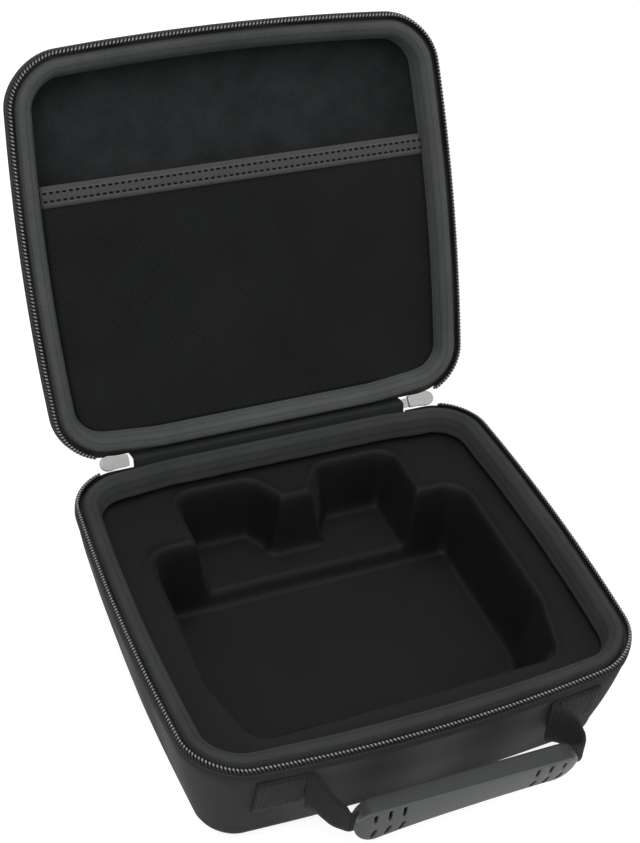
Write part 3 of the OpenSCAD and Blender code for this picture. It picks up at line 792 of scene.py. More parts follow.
class CASE_OT_zip(bpy.types.Operator):
    """Makes the two rows of the zip: tape, coil, core and sewing"""
    bl_idname = "case.zip"
    bl_label = "Zip"

    def execute(self, context):
        for side, up, body, skip in (("base", 1, "base", ZIP_END), ("lid", -1, "lid", 100.5)):
            lid = up < 0
            self.tape(side, up, body, skip, lid)
            self.coil(side, up, body, lid)
            self.sewing(side, up, body, skip, lid)
        return {"FINISHED"}

    def tape(self, side, up, body, skip, lid):
        way = open_way(2.0, skip)
        section = rounded([(TAPE_IN + 0.1, TAPE_LOW), (TAPE_IN - 0.1, 5.4), (TAPE_IN + 0.15, 3.1),
                           (TAPE_IN + TAPE_T, 3.0), (TAPE_IN + TAPE_T, TAPE_LOW)], 3)
        rows = [RIM.ring(way, i, d, FRONT_DIP, 0, up) for i, d in section]
        pts, faces, weave = strip(rows, False, True, True, way)
        obj = make(side + "_tape", pts, faces, finish(tape_finish), weave, lid)
        dress(outward(obj), body, "zip_tape", side + "_zip_tape")

    def coil(self, side, up, body, lid):
        pitch = sizes().coil_pitch / MM
        skip = 97.0 + 1.2
        turns = int((RIM.length - 2 * skip) / pitch)
        steps = 14
        a = np.arange(turns * steps + 1) * (2 * math.pi / steps)
        way = skip + a / (2 * math.pi) * pitch + np.sin(a) * pitch * 0.18
        p, out, dip, _ = RIM.frames(way)
        high = np.cos(a)
        inset = COIL_IN - np.sin(a) * 0.95
        depth = COIL_R + 0.15 - high * 0.92
        path = np.c_[p - out * inset[:, None], BASE_H - up * depth - dip * FRONT_DIP]
        head = np.clip(high, 0, 1) ** 4
        rows = tube(path, 0.3 + 0.2 * head, 6)
        pts, faces, weave = strip(rows, False, True, True, way)
        # The head values mark where the coil's painted highlight goes.
        obj = make(side + "_coil", pts, faces, finish(coil_finish), weave, lid,
                   values={"head": np.tile(smooth((high - 0.84) / 0.14), 6)})
        dress(outward(obj), body, "zip_coil", side + "_zip_coil")
        core_way = open_way(2.0, skip)
        core = RIM.ring(core_way, COIL_IN, COIL_R + 0.25, FRONT_DIP, 0, up)
        pts, faces, weave = strip(tube(core, 0.8, 8), False, True, True, core_way)
        obj = make(side + "_coil_core", pts, faces, finish(tape_finish, "coil_core", 0.3),
                   weave, lid)
        dress(outward(obj), body, "zip_coil")

    def sewing(self, side, up, body, skip, lid):
        pitch = sizes().coil_pitch / MM
        way = open_way(pitch, max(skip, 99.0) + 2)
        out = RIM.frames(way)[1]
        run = np.c_[-out[:, 1], out[:, 0], np.full(len(way), 0.5 * up)]
        run /= np.linalg.norm(run, axis=1)[:, None]
        c = RIM.ring(way, 0.3, 3.15, FRONT_DIP, 0, up)
        pts, faces = stitches(c, run, np.c_[out, np.zeros(len(way))], 1.3, 0.5)
        obj = make(side + "_tape_sewing", pts, faces, finish(thread_finish, "sewing_tape", 2.2),
                   plain_weave(faces, pts), lid)
        dress(outward(obj), body, "zip_tape")


# ---------------------------------------------------------------- bindings

class CASE_OT_bindings(bpy.types.Operator):
    """Makes the herringbone bindings with their edge stitching and the lapped joint"""
    bl_idname = "case.bindings"
    bl_label = "Bindings"

    def execute(self, context):
        for side, up, body in (("base", 1, "base"), ("lid", -1, "lid")):
            self.binding(side, up, body)
        return {"FINISHED"}

    def binding(self, side, up, body):
        way = RIM.way
        section = rounded([
            (4.7, 4.7), (4.6, 2.0), (5.4, 0.65), (7.4, 0.25), (9.6, 0.6), (11.4, 1.9),
            (12.6, 4.3), (13.4, 7.4), (14.1, 10.6), (13.9, 11.6), (12.9, 11.5), (11.9, 6.5),
            (11.2, 4.75)], 3)
        uneven = np.array([noise.noise(Vector((s * 0.09, 3.1 * up, 0))) for s in way])
        lap = np.zeros(len(way))
        if up > 0:
            x, y = RIM.lookup(way)[:2]
            lap = np.where((x > 100) & (y > -18) & (y < -8), 1.0, 0.0)
        rows = []
        for inset, depth in section:
            low = smooth((depth - 8) / 4)
            top = smooth((6 - abs(inset - 9)) / 3) * (depth < 9)
            grow = 0.45 * lap * top
            deep = depth + uneven * 0.5 * low - grow
            p, out, d, t = RIM.frames(way)
            q = p - out * (inset + grow * (depth > 4) - HINGE_TRIM * t)[:, None]
            rows.append(np.c_[q, BASE_H - up * deep - d * float(rim_dip(inset))])
        pts, faces, weave = strip(rows, True, True)
        # One cloth in two copies: painted light makes the lid's binding 1.7 times lighter, and
        # painted shade makes the base's 0.85 times darker.
        cloth = (finish(binding_finish, "herringbone_base", 0.85) if up > 0
                 else finish(binding_finish, "herringbone_lid", 1.7))
        obj = make(side + "_herringbone", pts, faces, cloth, weave, up < 0)
        dress(outward(obj), body, "binding_tape", side + "_binding")
        step = sizes().stitch / MM
        way = np.arange(0, RIM.length - step, step)
        p, out, d, t = RIM.frames(way)
        inward = np.c_[-out * 0.97, np.full(len(way), 0.25 * up)]
        inward /= np.linalg.norm(inward, axis=1)[:, None]
        run = np.c_[-out[:, 1], out[:, 0], np.zeros(len(way))]
        q = p - out * (13.72 - HINGE_TRIM * t)[:, None]
        c = np.c_[q, BASE_H - up * 9.3 - d * float(rim_dip(RIM_W))]
        pts, faces = stitches(c, run, inward, 2.2, 0.5)
        obj = make(side + "_binding_sewing", pts, faces,
                   finish(thread_finish, "sewing_binding", 1.7), plain_weave(faces, pts), up < 0)
        dress(outward(obj), body, "binding_tape")


# ---------------------------------------------------------------- inside of the lid

class CASE_OT_lid_inside(bpy.types.Operator):
    """Makes the lid's brushed lining, the mesh pocket and its band"""
    bl_idname = "case.lid_inside"
    bl_label = "Lid lining and pocket"

    def execute(self, context):
        self.lining()
        self.pocket()
        self.band()
        return {"FINISHED"}

    def lining(self):
        h, edge = LID_H, LID_EDGE - WALL
        f = LID_H - LID_EDGE
        li = lean(f, h) + WALL + 0.1
        back = h - WALL - 0.1
        base = RIM.ring(RIM.way, li + edge, back, 0, 0, -1)
        thick = 0.8

        def flat(share, depth):
            q = base.copy()
            q[:, :2] *= share
            q[:, 2] = BASE_H + depth
            return q

        rows = [flat(share, back) for share in (0.02, 0.6)]
        for a in np.radians([90, 60, 30, 0]):
            rows.append(RIM.ring(RIM.way, li + edge * (1 - math.cos(a)), f + edge * math.sin(a),
                                 0, 0, -1))
        low = BAND_H + 1.6
        rows.append(RIM.ring(RIM.way, lean(low, h) + WALL + 0.1, low, 0, 0, -1))
        rows.append(RIM.ring(RIM.way, lean(low, h) + WALL + 0.1 + thick, low, 0, 0, -1))
        for a in np.radians([0, 30, 60, 90]):
            rows.append(RIM.ring(RIM.way, li + thick + (edge - thick) * (1 - math.cos(a)),
                                 f + (edge - thick) * math.sin(a), 0, 0, -1))
        for share in (0.9, 0.75, 0.6, 0.45, 0.3, 0.15, 0.02):
            q = flat(share, back - thick)
            rise = np.array([noise.noise(Vector((p[0] * 0.03, p[1] * 0.03, 7.0))) for p in q])
            q[:, 2] -= 0.35 + 0.35 * rise
            rows.append(q)
        pts, faces, weave = capped(rows)
        obj = make("lid_brushed_lining", pts, faces, finish(lining_finish), weave, True)
        dress(outward(obj), "lid", "lining_cloth", "lid_lining")

    def inner_edge(self, y):
        """Half width inside the lid's band at depthwise place y."""
        p, out, _, t = RIM.frames(RIM.way)
        q = p - out * (BAND_IN - 0.15 - HINGE_TRIM * t)[:, None]
        right = q[q[:, 0] > 0]
        order = np.argsort(right[:, 1])
        return np.interp(y, right[order, 1], right[order, 0])

    def sheet_rows(self, y0, y1, ny, nx, z, thick, sag):
        top, low, place = [], [], []
        for y in np.linspace(y0, y1, ny):
            half = float(self.inner_edge(min(y, y1 - 0.02)))
            xs = np.linspace(-half, half, nx)
            k = (y - y0) / (y1 - y0)
            u = xs / half
            drop = sag * (1 - u ** 2) * math.sin(math.pi * (0.12 + 0.88 * k)) \
                + 0.25 * np.array([noise.noise(Vector((x * 0.05, y * 0.02, 1.0))) for x in xs]) \
                * (1 - u ** 6) * smooth(4 * (1 - k)) * smooth(4 * k)
            top.append(np.c_[xs, np.full(nx, y), BASE_H + z - thick / 2 + drop])
            low.append(np.c_[xs, np.full(nx, y), BASE_H + z + thick / 2 + drop])
            place.append(np.c_[xs * MM, np.full(nx, y * MM)])
        return np.array(top), np.array(low), np.array(place)

    def slab(self, name, top, low, place, material):
        ny, nx = top.shape[:2]
        pts = np.r_[top.reshape(-1, 3), low.reshape(-1, 3)]
        uv = place.reshape(-1, 2)
        uv = np.r_[uv, uv]
        n = ny * nx
        faces = []
        for j in range(ny - 1):
            for i in range(nx - 1):
                a = j * nx + i
                faces.append((a, a + 1, a + nx + 1, a + nx))
                faces.append((n + a + nx, n + a + nx + 1, n + a + 1, n + a))
        rim = list(range(nx)) + [j * nx + nx - 1 for j in range(1, ny)] \
            + [(ny - 1) * nx + i for i in range(nx - 2, -1, -1)] \
            + [j * nx for j in range(ny - 2, 0, -1)]
        for a, b in zip(rim, rim[1:] + rim[:1]):
            faces.append((a, n + a, n + b, b))
        weave = [[tuple(uv[i]) for i in f] for f in faces]
        return outward(make(name, pts, faces, material, weave, True))

    def pocket(self):
        y0, y1 = POCKET_EDGE + POCKET_BAND - 1.0, HALF_D - BAND_IN + HINGE_TRIM + 0.1
        top, low, place = self.sheet_rows(y0, y1, 60, 90, POCKET_Z, 0.7, 1.6)
        obj = self.slab("pocket_sheet", top, low, place, finish(mesh_finish))
        dress(obj, "lid", "pocket_mesh", "mesh_pocket")
        area = float(np.linalg.norm(top[0][-1] - top[0][0])) * (y1 - y0) * 1e-6
        (y1 - y0) * MM + 0.001

    def band(self):
        y0, nx, ny = POCKET_EDGE, 120, 9
        top, low, place = [], [], []
        for y in np.linspace(y0, y0 + POCKET_BAND, ny):
            half = float(self.inner_edge(y))
            xs = np.linspace(-half, half, nx)
            k = (y - y0) / POCKET_BAND
            crown = 0.35 * math.sin(math.pi * k)
            drop = 0.25 * (1 - (xs / half) ** 2) - 0.2 * smooth(np.abs(xs) / half * 8 - 7)
            top.append(np.c_[xs, np.full(nx, y), BASE_H + POCKET_Z - 0.85 - crown + drop])
            low.append(np.c_[xs, np.full(nx, y), BASE_H + POCKET_Z + 0.85 + drop])
            place.append(np.c_[xs * MM, np.full(nx, (y - y0) * MM)])
        obj = self.slab("pocket_edge_band", np.array(top), np.array(low), np.array(place),
                        finish(band_finish))
        dress(obj, "lid", "band_elastic", "pocket_band")


# ---------------------------------------------------------------- insert

def hull_distance(x, y, corners, r):
    """Distance to a rounded convex shape, less than 0 inside it."""
    c = np.asarray(corners, float)
    best = np.full(x.shape, 1e9)
    inside = np.ones(x.shape, bool)
    for a, b in zip(c, np.roll(c, -1, 0)):
        d = b - a
        t = np.clip(((x - a[0]) * d[0] + (y - a[1]) * d[1]) / (d @ d), 0, 1)
        best = np.minimum(best, np.hypot(x - a[0] - t * d[0], y - a[1] - t * d[1]))
        inside &= d[0] * (y - a[1]) - d[1] * (x - a[0]) >= 0
    return np.where(inside, -best, best) - r


class CASE_OT_insert(bpy.types.Operator):
    """Makes the satin-covered insert with its rounded hollows"""
    bl_idname = "case.insert"
    bl_label = "Insert"

    def execute(self, context):
        step = 1.1
        xs = np.arange(-113.6, 113.7, step)
        ys = np.arange(-104, 101.6, step)
        x, y = np.meshgrid(xs, ys)
        z = self.height(x, y)
        edge = RIM.ring(RIM.way, 7.6, 14, 0)[:, :2]
        keep = self.inside(edge, x, y)
        used, pts, faces = {}, [], []
        ny, nx = x.shape
        for j in range(ny - 1):
            for i in range(nx - 1):
                cell = [(j, i), (j, i + 1), (j + 1, i + 1), (j + 1, i)]
                if all(keep[c] for c in cell):
                    face = []
                    for c in cell:
                        if c not in used:
                            used[c] = len(pts)
                            pts.append([x[c], y[c], z[c]])
                        face.append(used[c])
                    faces.append(tuple(face))
        pts = self.relaxed(np.array(pts), faces)
        count = {}
        for f in faces:
            for a, b in zip(f, f[1:] + f[:1]):
                count[(a, b)] = 1
        border = [(a, b) for a, b in count if (b, a) not in count]
        for i in {i for e in border for i in e}:
            k = np.argmin(np.hypot(*(edge - pts[i, :2]).T))
            pts[i, :2] = edge[k]
            pts[i, 2] = SHELF_Z
        n = len(pts)
        low = pts.copy()
        low[:, :2] *= 0.93
        low[:, 2] = 6.0
        faces += [tuple(n + i for i in reversed(f)) for f in list(faces)]
        faces += [(b, a, n + a, n + b) for a, b in border]
        pts = np.r_[pts, low]
        weave = [[(pts[i][0] * MM, pts[i][1] * MM) for i in f] for f in faces]
        obj = make("insert_cover", pts, faces, finish(insert_finish), weave)
        dress(outward(obj), "base", "insert_cloth", "insert_tray")
        return {"FINISHED"}

    def relaxed(self, pts, faces):
        """Evens out the steps that a square grid leaves on the steep walls."""
        f = np.array(faces)
        a = np.r_[f.ravel(), np.roll(f, -1, 1).ravel()]
        b = np.r_[np.roll(f, -1, 1).ravel(), f.ravel()]
        links = np.bincount(a, minlength=len(pts))[:, None]
        for _ in range(5):
            total = np.stack([np.bincount(a, pts[b, k], len(pts)) for k in range(3)], 1)
            pts = pts + 0.6 * (total / links - pts)
        return pts

    def inside(self, edge, x, y):
        hit = np.zeros(x.shape, bool)
        for a, b in zip(edge, np.roll(edge, -1, 0)):
            if a[1] == b[1]:
                continue
            cross = (a[1] > y) != (b[1] > y)
            hit ^= cross & (x < (b[0] - a[0]) * (y - a[1]) / (b[1] - a[1]) + a[0])
        return hit

    def height(self, x, y):
        ridge = sizes().ridge / MM
        main = hull_distance(x, y, [(-69, -69), (69, -69), (76, -41), (76, 38), (-76, 38),
                                    (-76, -41)], 12)
        corners = [(-53, 30), (-18, 30), (-18, 68), (-24.5, 78), (-53, 78)]
        left, right = (hull_distance(sx, y, corners, 9) for sx in (x, -x))
        gap = hull_distance(x, y, [(-18, 38), (18, 38), (18, 62), (-18, 62)], 6)
        rear = np.minimum(np.minimum(left, right), gap)
        top = np.full(x.shape, SHELF_Z)
        whole = np.minimum(main, rear)
        top += ridge * np.exp(-((whole - 1.6) / 2.4) ** 2)
        z = np.minimum(top - (top - HOLLOW_FLOOR) * smooth(-main / 7.5),
                       top - (top - REAR_FLOOR) * smooth(-rear / 6.0))
        soft = np.array([[noise.noise(Vector((a * 0.03, b * 0.03, 0.4))) for a, b in zip(p, q)]
                         for p, q in zip(x, y)])
        return z + soft * 0.35


# ---------------------------------------------------------------- hinge fabric

class CASE_OT_hinge(bpy.types.Operator):
    """Makes the fabric that folds between the base and the lid"""
    bl_idname = "case.hinge"
    bl_label = "Hinge fabric"

    def execute(self, context):
        low = [(lean_y(14, BASE_H), BASE_H - 14), (lean_y(10, BASE_H), BASE_H - 10),
               (lean_y(7.6, BASE_H), BASE_H - 7.6), (104.9, 64.5), (105.5, 67.0), (105.9, 68.6)]
        high = [(105.6, 70.8), (105.1, 73.5), (lean_y(7.6, LID_H), BASE_H + 7.6),
                (lean_y(10, LID_H), BASE_H + 10), (lean_y(14, LID_H), BASE_H + 14)]
        turned = []
        for y, z in high:
            p = TURN_UP @ Vector((0, y, z))
            turned.append((p.y, p.z))
        line = np.array(low + turned)
        fine = []
        for i in range(len(line) - 1):
            for t in np.linspace(0, 1, 4, endpoint=False):
                fine.append(line[i] + (line[i + 1] - line[i]) * t)
        fine = np.array(fine + [line[-1]])
        t = np.gradient(fine, axis=0)
        t /= np.linalg.norm(t, axis=1)[:, None]
        side = np.c_[t[:, 1], -t[:, 0]] * 0.55
        xs = np.linspace(-ZIP_END + 0.6, ZIP_END - 0.6, 90)
        loop = np.r_[fine + side, (fine - side)[::-1]]
        rows = []
        for y, z in loop:
            wave = np.array([noise.noise(Vector((x * 0.06, z * 0.1, 2.0))) for x in xs]) * 0.12
            rows.append(np.c_[xs, np.full(len(xs), y) + wave, np.full(len(xs), z) + wave])
        pts, faces, weave = strip(rows, False, True, True)
        obj = make("hinge_fabric", pts, faces, finish(tape_finish, "hinge_cloth", 0.8), weave)
        outward(obj)
        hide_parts("hinge_strip_lower", "hinge_strip_upper")
        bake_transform(obj)
        return {"FINISHED"}


def lean_y(s, h):
    return HALF_D - lean(s, h) + 0.75


# ---------------------------------------------------------------- handle

def front_face(x, z):
    return -HALF_D - FRONT_BOW * (1 - (x / HALF_W) ** 2) + lean(BASE_H - z, BASE_H)


def sweep_web(stations, thick, count=44, cross=9):
    """A flat web through stations of place and height: rows round its section."""
    st = np.asarray(stations, float)
    last = len(st) - 1
    fine = []
    for t in np.linspace(0, last, count):
        i = min(int(t), last - 1)
        fine.append(between(st[max(i - 1, 0)], st[i], st[i + 1], st[min(i + 2, last)], t - i))
    fine = np.array(fine)
    t = np.gradient(fine[:, :2], axis=0)
    t /= np.linalg.norm(t, axis=1)[:, None]
    side = np.c_[t[:, 1], -t[:, 0]]
    way = np.r_[0, np.cumsum(np.linalg.norm(np.diff(fine[:, :3], axis=0), axis=1))]
    rows = []
    for sign, vs in ((1, np.linspace(-1, 1, cross)), (-1, np.linspace(1, -1, cross))):
        for v in vs:
            edge = 1 - 0.45 * max(0.0, abs(v) * 4 - 3) ** 2
            off = side * sign * thick / 2 * edge
            rows.append(np.c_[fine[:, 0] + off[:, 0], fine[:, 1] + off[:, 1],
                              fine[:, 2] + v * fine[:, 3] / 2])
    return rows, way


class CASE_OT_handle(bpy.types.Operator):
    """Makes the handle: sewn ends, webbing and the moulded grip"""
    bl_idname = "case.handle"
    bl_label = "Handle"

    def execute(self, context):
        self.ends()
        self.webs()
        self.grip()
        return {"FINISHED"}

    def ends(self):
        for side, name in ((-1, "left"), (1, "right")):
            xs = np.linspace(64.0, 88.0, 18) * side
            rows, zs = [], np.linspace(31.6, 56.4, 12)
            for sign, order in ((1, zs), (-1, zs[::-1])):
                for z in order:
                    edge = 0.9 if sign > 0 else 0.0
                    out = 0.4 + (1.9 if sign > 0 else 0) * (1 - 0.35 * edge
                                                            * (abs(z - 44) / 12.4) ** 8)
                    rows.append(np.array([[x, front_face(x, z) - out, z] for x in xs]))
            pts, faces, weave = strip(rows, False, True, True, np.abs(xs - xs[0]))
            obj = make("sewn_end_" + name, pts, faces, finish(webbing_finish), weave)
            dress(outward(obj), "base", "webbing", "handle_patch_" + name)
            lines = []
            for z in (34.0, 54.0):
                lines += [((x, z), (1, 0)) for x in np.arange(66.2, 86, 2.9)]
            for x in (65.4, 86.6, 84.4):
                lines += [((x, z), (0, 1)) for z in np.arange(35.6, 53, 2.9)]
            for z, rise in ((34, 1), (54, -1)):
                lines += [((65.4 + 19 * t, z + 20 * rise * t), (0.69, 0.72 * rise))
                          for t in np.linspace(0.07, 0.93, 9)]
            c, run, out = [], [], []
            for (x, z), (dx, dz) in lines:
                x *= side
                c.append([x, front_face(x, z) - 2.35, z])
                step = front_face(x + dx * side, z + dz) - front_face(x, z)
                to = np.array([dx * side, step, dz])
                run.append(to / np.linalg.norm(to))
                out.append([0.06 * side, -0.98, -0.17])
            pts, faces = stitches(c, run, out, 2.2, 0.55)
            obj = make("sewn_end_stitches_" + name, pts, faces,
                       finish(thread_finish, "sewing_handle", 1.5), plain_weave(faces, pts))
            dress(outward(obj), "base", "webbing")

    def webs(self):
        root_x = 62.85
        root_y = front_face(root_x, PATCH_Z + WEB_W / 2) - 1.3
        mouth_l, mouth_r = GRIP_X - MOUTH, GRIP_X + MOUTH
        way, far = mouth_l + root_x, mouth_r + STRAP_BULGE

        def at(x, k, m, h):
            return [x, root_y + (GRIP_Y - root_y) * k, PATCH_Z + (CHANNEL_Z - PATCH_Z) * m, h]

        left = [at(x * way - root_x, k, m, h) for x, k, m, h in (
            (-0.12, -0.04, 0, WEB_W), (0, 0, 0, WEB_W), (0.15, 0.11, 0.04, WEB_W),
            (0.36, 0.29, 0.44, 23), (0.62, 0.54, 0.88, 20.5), (0.87, 0.78, 1, 17.6),
            (1, 1, 1, CHANNEL_H), (1.3, 1, 1, CHANNEL_H - 0.2))]
        right = [at(*q) for q in (
            (root_x + 1.6, -0.03, 0, WEB_W), (root_x, 0, 0, WEB_W), (root_x - 3, 0.11, 0, WEB_W),
            (root_x + 1.8, 0.24, 0.12, 24), (far - 3, 0.47, 0.4, 22), (far - 1, 0.68, 0.7, 18),
            (far - 0.3, 0.84, 0.95, 16.1), (far - 1.8, 0.97, 1, 13.6),
            (mouth_r, 1, 1, CHANNEL_H), (mouth_r - 4, 1, 1, CHANNEL_H - 0.2))]
        for name, st, a, b in (
                ("left", left, (-0.0625, -0.1083, 0.044), (-0.0505, -0.1245, 0.036)),
                ("right", right, (0.0625, -0.109, 0.044), (0.0715, -0.1228, 0.0365))):
            rows, way = sweep_web(st, WEB_T)
            pts, faces, weave = strip(rows, False, True, True, way)
            obj = make("web_" + name, pts, faces, finish(webbing_finish), weave)
            outward(obj)
            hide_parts("handle_strap_" + name)
            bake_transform(obj)
        st = [[GRIP_X + x, GRIP_Y, CHANNEL_Z, CHANNEL_H - 0.2] for x in (-54, -28, 0, 28, 54)]
        rows, way = sweep_web(st, 1.7)
        pts, faces, weave = strip(rows, False, True, True, way)
        obj = make("web_in_grip", pts, faces, finish(webbing_finish), weave)
        dress(outward(obj), "handle", "webbing", "handle_webbing")

    def grip(self):
        def at(p):
            twist = math.radians(GRIP_LEAN - 1.0 + 7.0 * max(-1.0, min(1.0, p[0] / half)))
            return (Matrix.Translation((GRIP_X, GRIP_Y, GRIP_Z))
                    @ Matrix.Rotation(twist, 4, "X") @ Vector(p))[:]

        half, r, top, rise, d = 57.7, 10.8, 11.1, 2.0, 5.0
        xs = half * np.sin(np.linspace(-math.pi / 2, math.pi / 2, 96))
        rows = []
        for x in xs:
            e = max(0.0, abs(x) - (half - r)) / r
            round_ = math.sqrt(max(0.0, 1 - e * e))
            z1 = top - r + r * round_ if e > 0 else top
            base = -top + (rise * (1 - (abs(x) / (half - r)) ** 2.5) if abs(x) < half - r else 0)
            z0 = -(top - r) - r * round_ if e > 0 else base
            deep = 1.0 if e == 0 else 0.55 + 0.45 * round_
            section = []
            z1, z0 = max(z1, 0.6), min(z0, -0.6)
            h = z1 - z0
            soft = min(0.9, h * 0.3)
            corners = [(-d * deep, z0 + soft, soft), (-d * deep, z1 - 1.0 * deep, 0.8),
                       (-d * deep + 0.9 * deep, z1, 0.9), (d * deep - 1.0, z1 - 0.8 * deep, 1.2),
                       (d * deep, z1 - min(2.4, h * 0.4), 1.2), (d * deep, z0 + soft * 1.5, soft),
                       (d * deep - 2.0 * deep, z0, soft), (-d * deep + 0.9 * deep, z0, soft)]
            c = np.array([q[:2] for q in corners])
            for k in range(len(c)):
                a, b, n = c[k - 1], c[k], c[(k + 1) % len(c)]
                cut = corners[k][2] * 0.6
                pa, pn = (b + (q - b) / np.linalg.norm(q - b)
                          * min(cut, np.linalg.norm(q - b) * 0.45) for q in (a, n))
                for t in (0, 0.33, 0.67, 1.0):
                    section.append((1 - t) ** 2 * pa + 2 * t * (1 - t) * b + t * t * pn)
            rows.append([[x, p[0], p[1]] for p in section])
        rows = np.array(rows).transpose(1, 0, 2)
        pts, faces, weave = strip(rows, False, True, True)
        pts = [at(p) for p in pts]
        obj = make("moulded_grip", pts, faces, finish(grip_finish), weave)
        outward(obj)
        parts = []
        for sx in (-1, 1):
            for i in range(3):
                for row in (-1, 1):
                    w, h = SLOT_HALF_W, (3.5 if i < 2 else 2.6) if row > 0 else 2.6
                    shape = []
                    for a in np.linspace(0, 2 * math.pi, 16, endpoint=False):
                        lift = (h - w) * (1 if math.sin(a) >= 0 else -1)
                        shape.append([w * math.cos(a), w * math.sin(a) + lift])
                    p, f = prism(shape, -1.0, 2.6, 0.12)
                    shear = 0.0 if row > 0 else 0.4
                    parts.append(([at((sx * (SLOT_FIRST + i * SLOT_PITCH) + v[0] + shear * v[1],
                                       v[2] - d, row * SLOT_ROW + v[1])) for v in p], f))
        pts, faces = joined(parts)
        # The walls of the slots get the grip colour darkened to 0.08: painted shade in the slots.
        cutter = outward(make("slot_cutter", pts, faces, finish(grip_finish, "grip_slots", 0.08)))
        cut = obj.modifiers.new("slots", "BOOLEAN")
        cut.operation, cut.object, cut.solver = "DIFFERENCE", cutter, "EXACT"
        cut.material_mode = "TRANSFER"
        bpy.context.view_layer.update()
        done = bpy.data.meshes.new_from_object(
            obj.evaluated_get(bpy.context.evaluated_depsgraph_get()))
        obj.modifiers.clear()
        obj.data = done
        bpy.data.objects.remove(cutter)
        dress(obj, "handle", "grip_plastic", "handle_grip")


# ---------------------------------------------------------------- sliders

class CASE_OT_sliders(bpy.types.Operator):
    """Makes the two zip sliders and their pull tabs"""
    bl_idname = "case.sliders"
    bl_label = "Sliders"

    def execute(self, context):
        for side, name in ((-1, "left"), (1, "right")):
            at = (Matrix.Translation((side * SLIDER_X, HINGE_Y, HINGE_Z))
                  @ Matrix.Rotation(math.radians(SLIDER_TILT), 4, "X")
                  @ Matrix.Diagonal((side, 1, 1, 1)))
            self.slider(at, name)
            self.pull(at, name)
        return {"FINISHED"}

    def put(self, at, parts):
        pts, faces = joined(parts)
        return [(at @ Vector(p))[:] for p in pts], faces

    def slider(self, at, name):
        h, m, t = 7.5, 4.0, 3.3
        key = [(-h, -t + 1.2), (-h + 1.2, -t), (-2, -t - 0.1), (1.5, -m + 0.25), (3.4, -m),
               (5.2, -m + 0.5), (6.7, -2.4), (7.35, -1.1), (7.5, 0)]
        o = np.array(key + [(x, -y) for x, y in key[-2::-1]])
        fine = rounded(o, 3)
        inner, outer = prism(fine, 1.2, 2.1, 0.3), prism(fine, -2.1, -1.2, 0.3)
        ring = [(1.25 * math.cos(a), 1.25 * math.sin(a))
                for a in np.linspace(0, 2 * math.pi, 20, False)]
        post = prism(ring, -1.3, 1.3, 0.05)
        post = (post[0] + [3.9, 0, 0], post[1])
        arch = rounded([(-4.5, -2.0), (-4.4, -3.6), (-3.4, -4.3), (0, -4.4), (3.4, -4.3),
                        (4.4, -3.6), (4.5, -2.0), (3.5, -2.0), (3.3, -3.2), (0, -3.4),
                        (-3.3, -3.2), (-3.5, -2.0)], 3)
        p, f = prism(arch[::-1], -1.1, 1.1, 0.2)
        bridge = (np.c_[p[:, 0], p[:, 2], p[:, 1]], f)
        pts, faces = self.put(at, [inner, outer, post, bridge])
        obj = make("zip_slider_" + name, pts, faces, finish(metal_finish),
                   plain_weave(faces, pts), soft=False)
        dress(outward(obj), name + "_slider", "slider_metal", "slider_" + name)

    def pull(self, at, name):
        zs = -2.7
        tab = rounded([(-2.5, -5.6), (-2.2, -12), (-2.5, -20), (-2.3, -23), (-1.0, -24),
                       (1.0, -24), (2.3, -23), (2.5, -20), (2.2, -12), (2.5, -5.6)], 3)
        p, f = prism(tab[::-1], -0.55, 0.55, 0.25)
        parts = [(np.c_[p[:, 2], p[:, 0], p[:, 1] + zs], f)]
        bars = [([(0, sy * 1.9, zs), (0, sy * 1.95, zs - 2.5), (0, sy * 2.0, zs - 6.2)], 8)
                for sy in (-1, 1)]
        for path, sides in bars + [([(0, -2.2, zs), (0, 0, zs), (0, 2.2, zs)], 10)]:
            parts.append(strip(tube(path, 0.42, sides), False, True, True)[:2])
        pts, faces = self.put(at, parts)
        obj = make("zip_pull_" + name, pts, faces, finish(metal_finish),
                   plain_weave(faces, pts), soft=False)
        dress(outward(obj), name + "_pull", "slider_metal", "pull_" + name)


# ---------------------------------------------------------------- stage

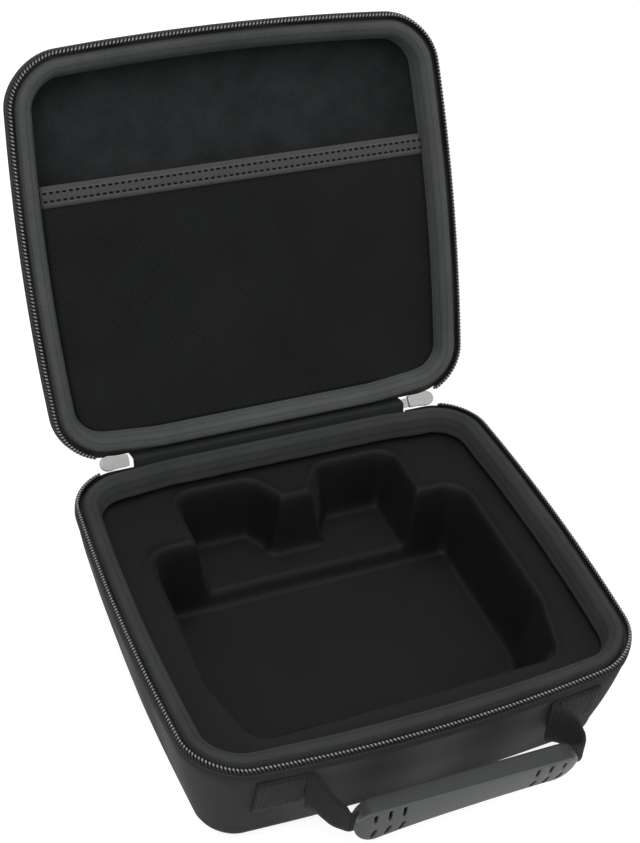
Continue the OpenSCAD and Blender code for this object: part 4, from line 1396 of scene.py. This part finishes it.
class CASE_OT_stage(bpy.types.Operator):
    """Sets the floor, the lights and the camera"""
    bl_idname = "case.stage"
    bl_label = "Stage"

    def execute(self, context):
        self.floor()
        self.world()
        for name, place, aim, size, power in (
                ("key", (-0.9, -1.1, 1.9), (0, 0.0, 0.05), 1.4, 20),
                ("fill", (1.5, -0.9, 1.2), (0, 0, 0.08), 1.6, 7),
                ("top", (0.1, 0.5, 2.2), (0, 0.05, 0.05), 1.6, 15)):
            lamp = bpy.data.lights.new(name, "AREA")
            lamp.size, lamp.energy = size, power
            obj = bpy.data.objects.new(name, lamp)
            obj.location = place
            obj.rotation_euler = (Vector(aim) - Vector(place)).to_track_quat("-Z", "Y").to_euler()
            context.scene.collection.objects.link(obj)
        self.camera(context)
        return {"FINISHED"}

    def floor(self):
        f = Finish("pale_floor", Roughness=0.9, Specular_IOR_Level=0.1)
        f.shader.inputs["Base Color"].default_value = (0.35, 0.35, 0.35, 1)
        path = f.add("ShaderNodeLightPath", None, None, 0)
        seen = (path + f.output(path, 3) + f.output(path, 6)).clip()
        f.set("Emission Color", f.colour(seen, (0, 0, 0), (0.84, 0.84, 0.84)))
        f.shader.inputs["Emission Strength"].default_value = 1.0
        n = 24
        pts = [(4000 * math.cos(2 * math.pi * i / n), 4000 * math.sin(2 * math.pi * i / n), 0)
               for i in range(n)]
        obj = make("floor", pts, [tuple(range(n))], f.material)

    def world(self):
        world = bpy.data.worlds.new("studio")
        bpy.context.scene.world = world
        world.use_nodes = True
        nodes = Nodes(world.node_tree)
        background = nodes.tree.nodes["Background"]
        background.inputs["Color"].default_value = (1, 1, 1, 1)
        background.inputs["Strength"].default_value = 0.42
        soft = Wire(nodes, background.outputs[0])
        white = nodes.add("ShaderNodeBackground", None, {"Color": (1, 1, 1, 1)})
        seen = nodes.add("ShaderNodeLightPath")
        mix = nodes.add("ShaderNodeMixShader", None, {0: seen, 1: soft, 2: white})
        nodes.tree.links.new(mix.socket, nodes.tree.nodes["World Output"].inputs[0])

    def camera(self, context):
        az, el, roll = (math.radians(a) for a in CAMERA_TURN)
        back = Vector((math.sin(az) * math.cos(el), -math.cos(az) * math.cos(el), math.sin(el)))
        aim = Vector(CAMERA_AIM)
        right = Vector((math.cos(az), math.sin(az), 0))
        over = back.cross(right)
        turn_right = right * math.cos(roll) + over * math.sin(roll)
        turn_over = over * math.cos(roll) - right * math.sin(roll)
        view = Matrix((turn_right, turn_over, back)).transposed().to_4x4()
        cam = bpy.data.cameras.new("camera")
        cam.sensor_fit = "VERTICAL"
        cam.sensor_height = 36.0
        cam.lens = 36.0 * CAMERA_FOCAL / PICTURE_H
        cam.shift_x, cam.shift_y = (shift / PICTURE_H for shift in CAMERA_SHIFT)
        obj = bpy.data.objects.new("camera", cam)
        obj.matrix_world = Matrix.Translation((aim + back * CAMERA_FAR) * MM) @ view
        context.scene.collection.objects.link(obj)
        context.scene.camera = obj
        context.scene.view_settings.view_transform = "Standard"


# ---------------------------------------------------------------- add-on

STEPS = (CASE_OT_stage, CASE_OT_covers, CASE_OT_zip, CASE_OT_bindings, CASE_OT_lid_inside,
         CASE_OT_insert, CASE_OT_hinge, CASE_OT_handle, CASE_OT_sliders)


class CASE_PT_panel(bpy.types.Panel):
    """Lists the pieces of the carry case"""
    bl_idname = "CASE_PT_panel"
    bl_label = "Carry case"
    bl_space_type = "VIEW_3D"
    bl_region_type = "UI"
    bl_category = "Carry case"

    def draw(self, context):
        for group in (context.scene.case_sizes, context.scene.case_colours):
            box = self.layout.box()
            for key in group.__annotations__:
                box.prop(group, key)
        for step in STEPS:
            self.layout.operator(step.bl_idname)


CLASSES = (CaseSizes, CaseColours) + STEPS + (CASE_PT_panel,)


def register():
    for cls in CLASSES:
        bpy.utils.register_class(cls)
    bpy.types.Scene.case_sizes = bpy.props.PointerProperty(type=CaseSizes)
    bpy.types.Scene.case_colours = bpy.props.PointerProperty(type=CaseColours)


def unregister():
    del bpy.types.Scene.case_colours
    del bpy.types.Scene.case_sizes
    for cls in reversed(CLASSES):
        bpy.utils.unregister_class(cls)


def main():
    register()
    for step in STEPS:
        group, name = step.bl_idname.split(".")
        getattr(getattr(bpy.ops, group), name)()
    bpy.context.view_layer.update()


if __name__ == "__main__":
    main()
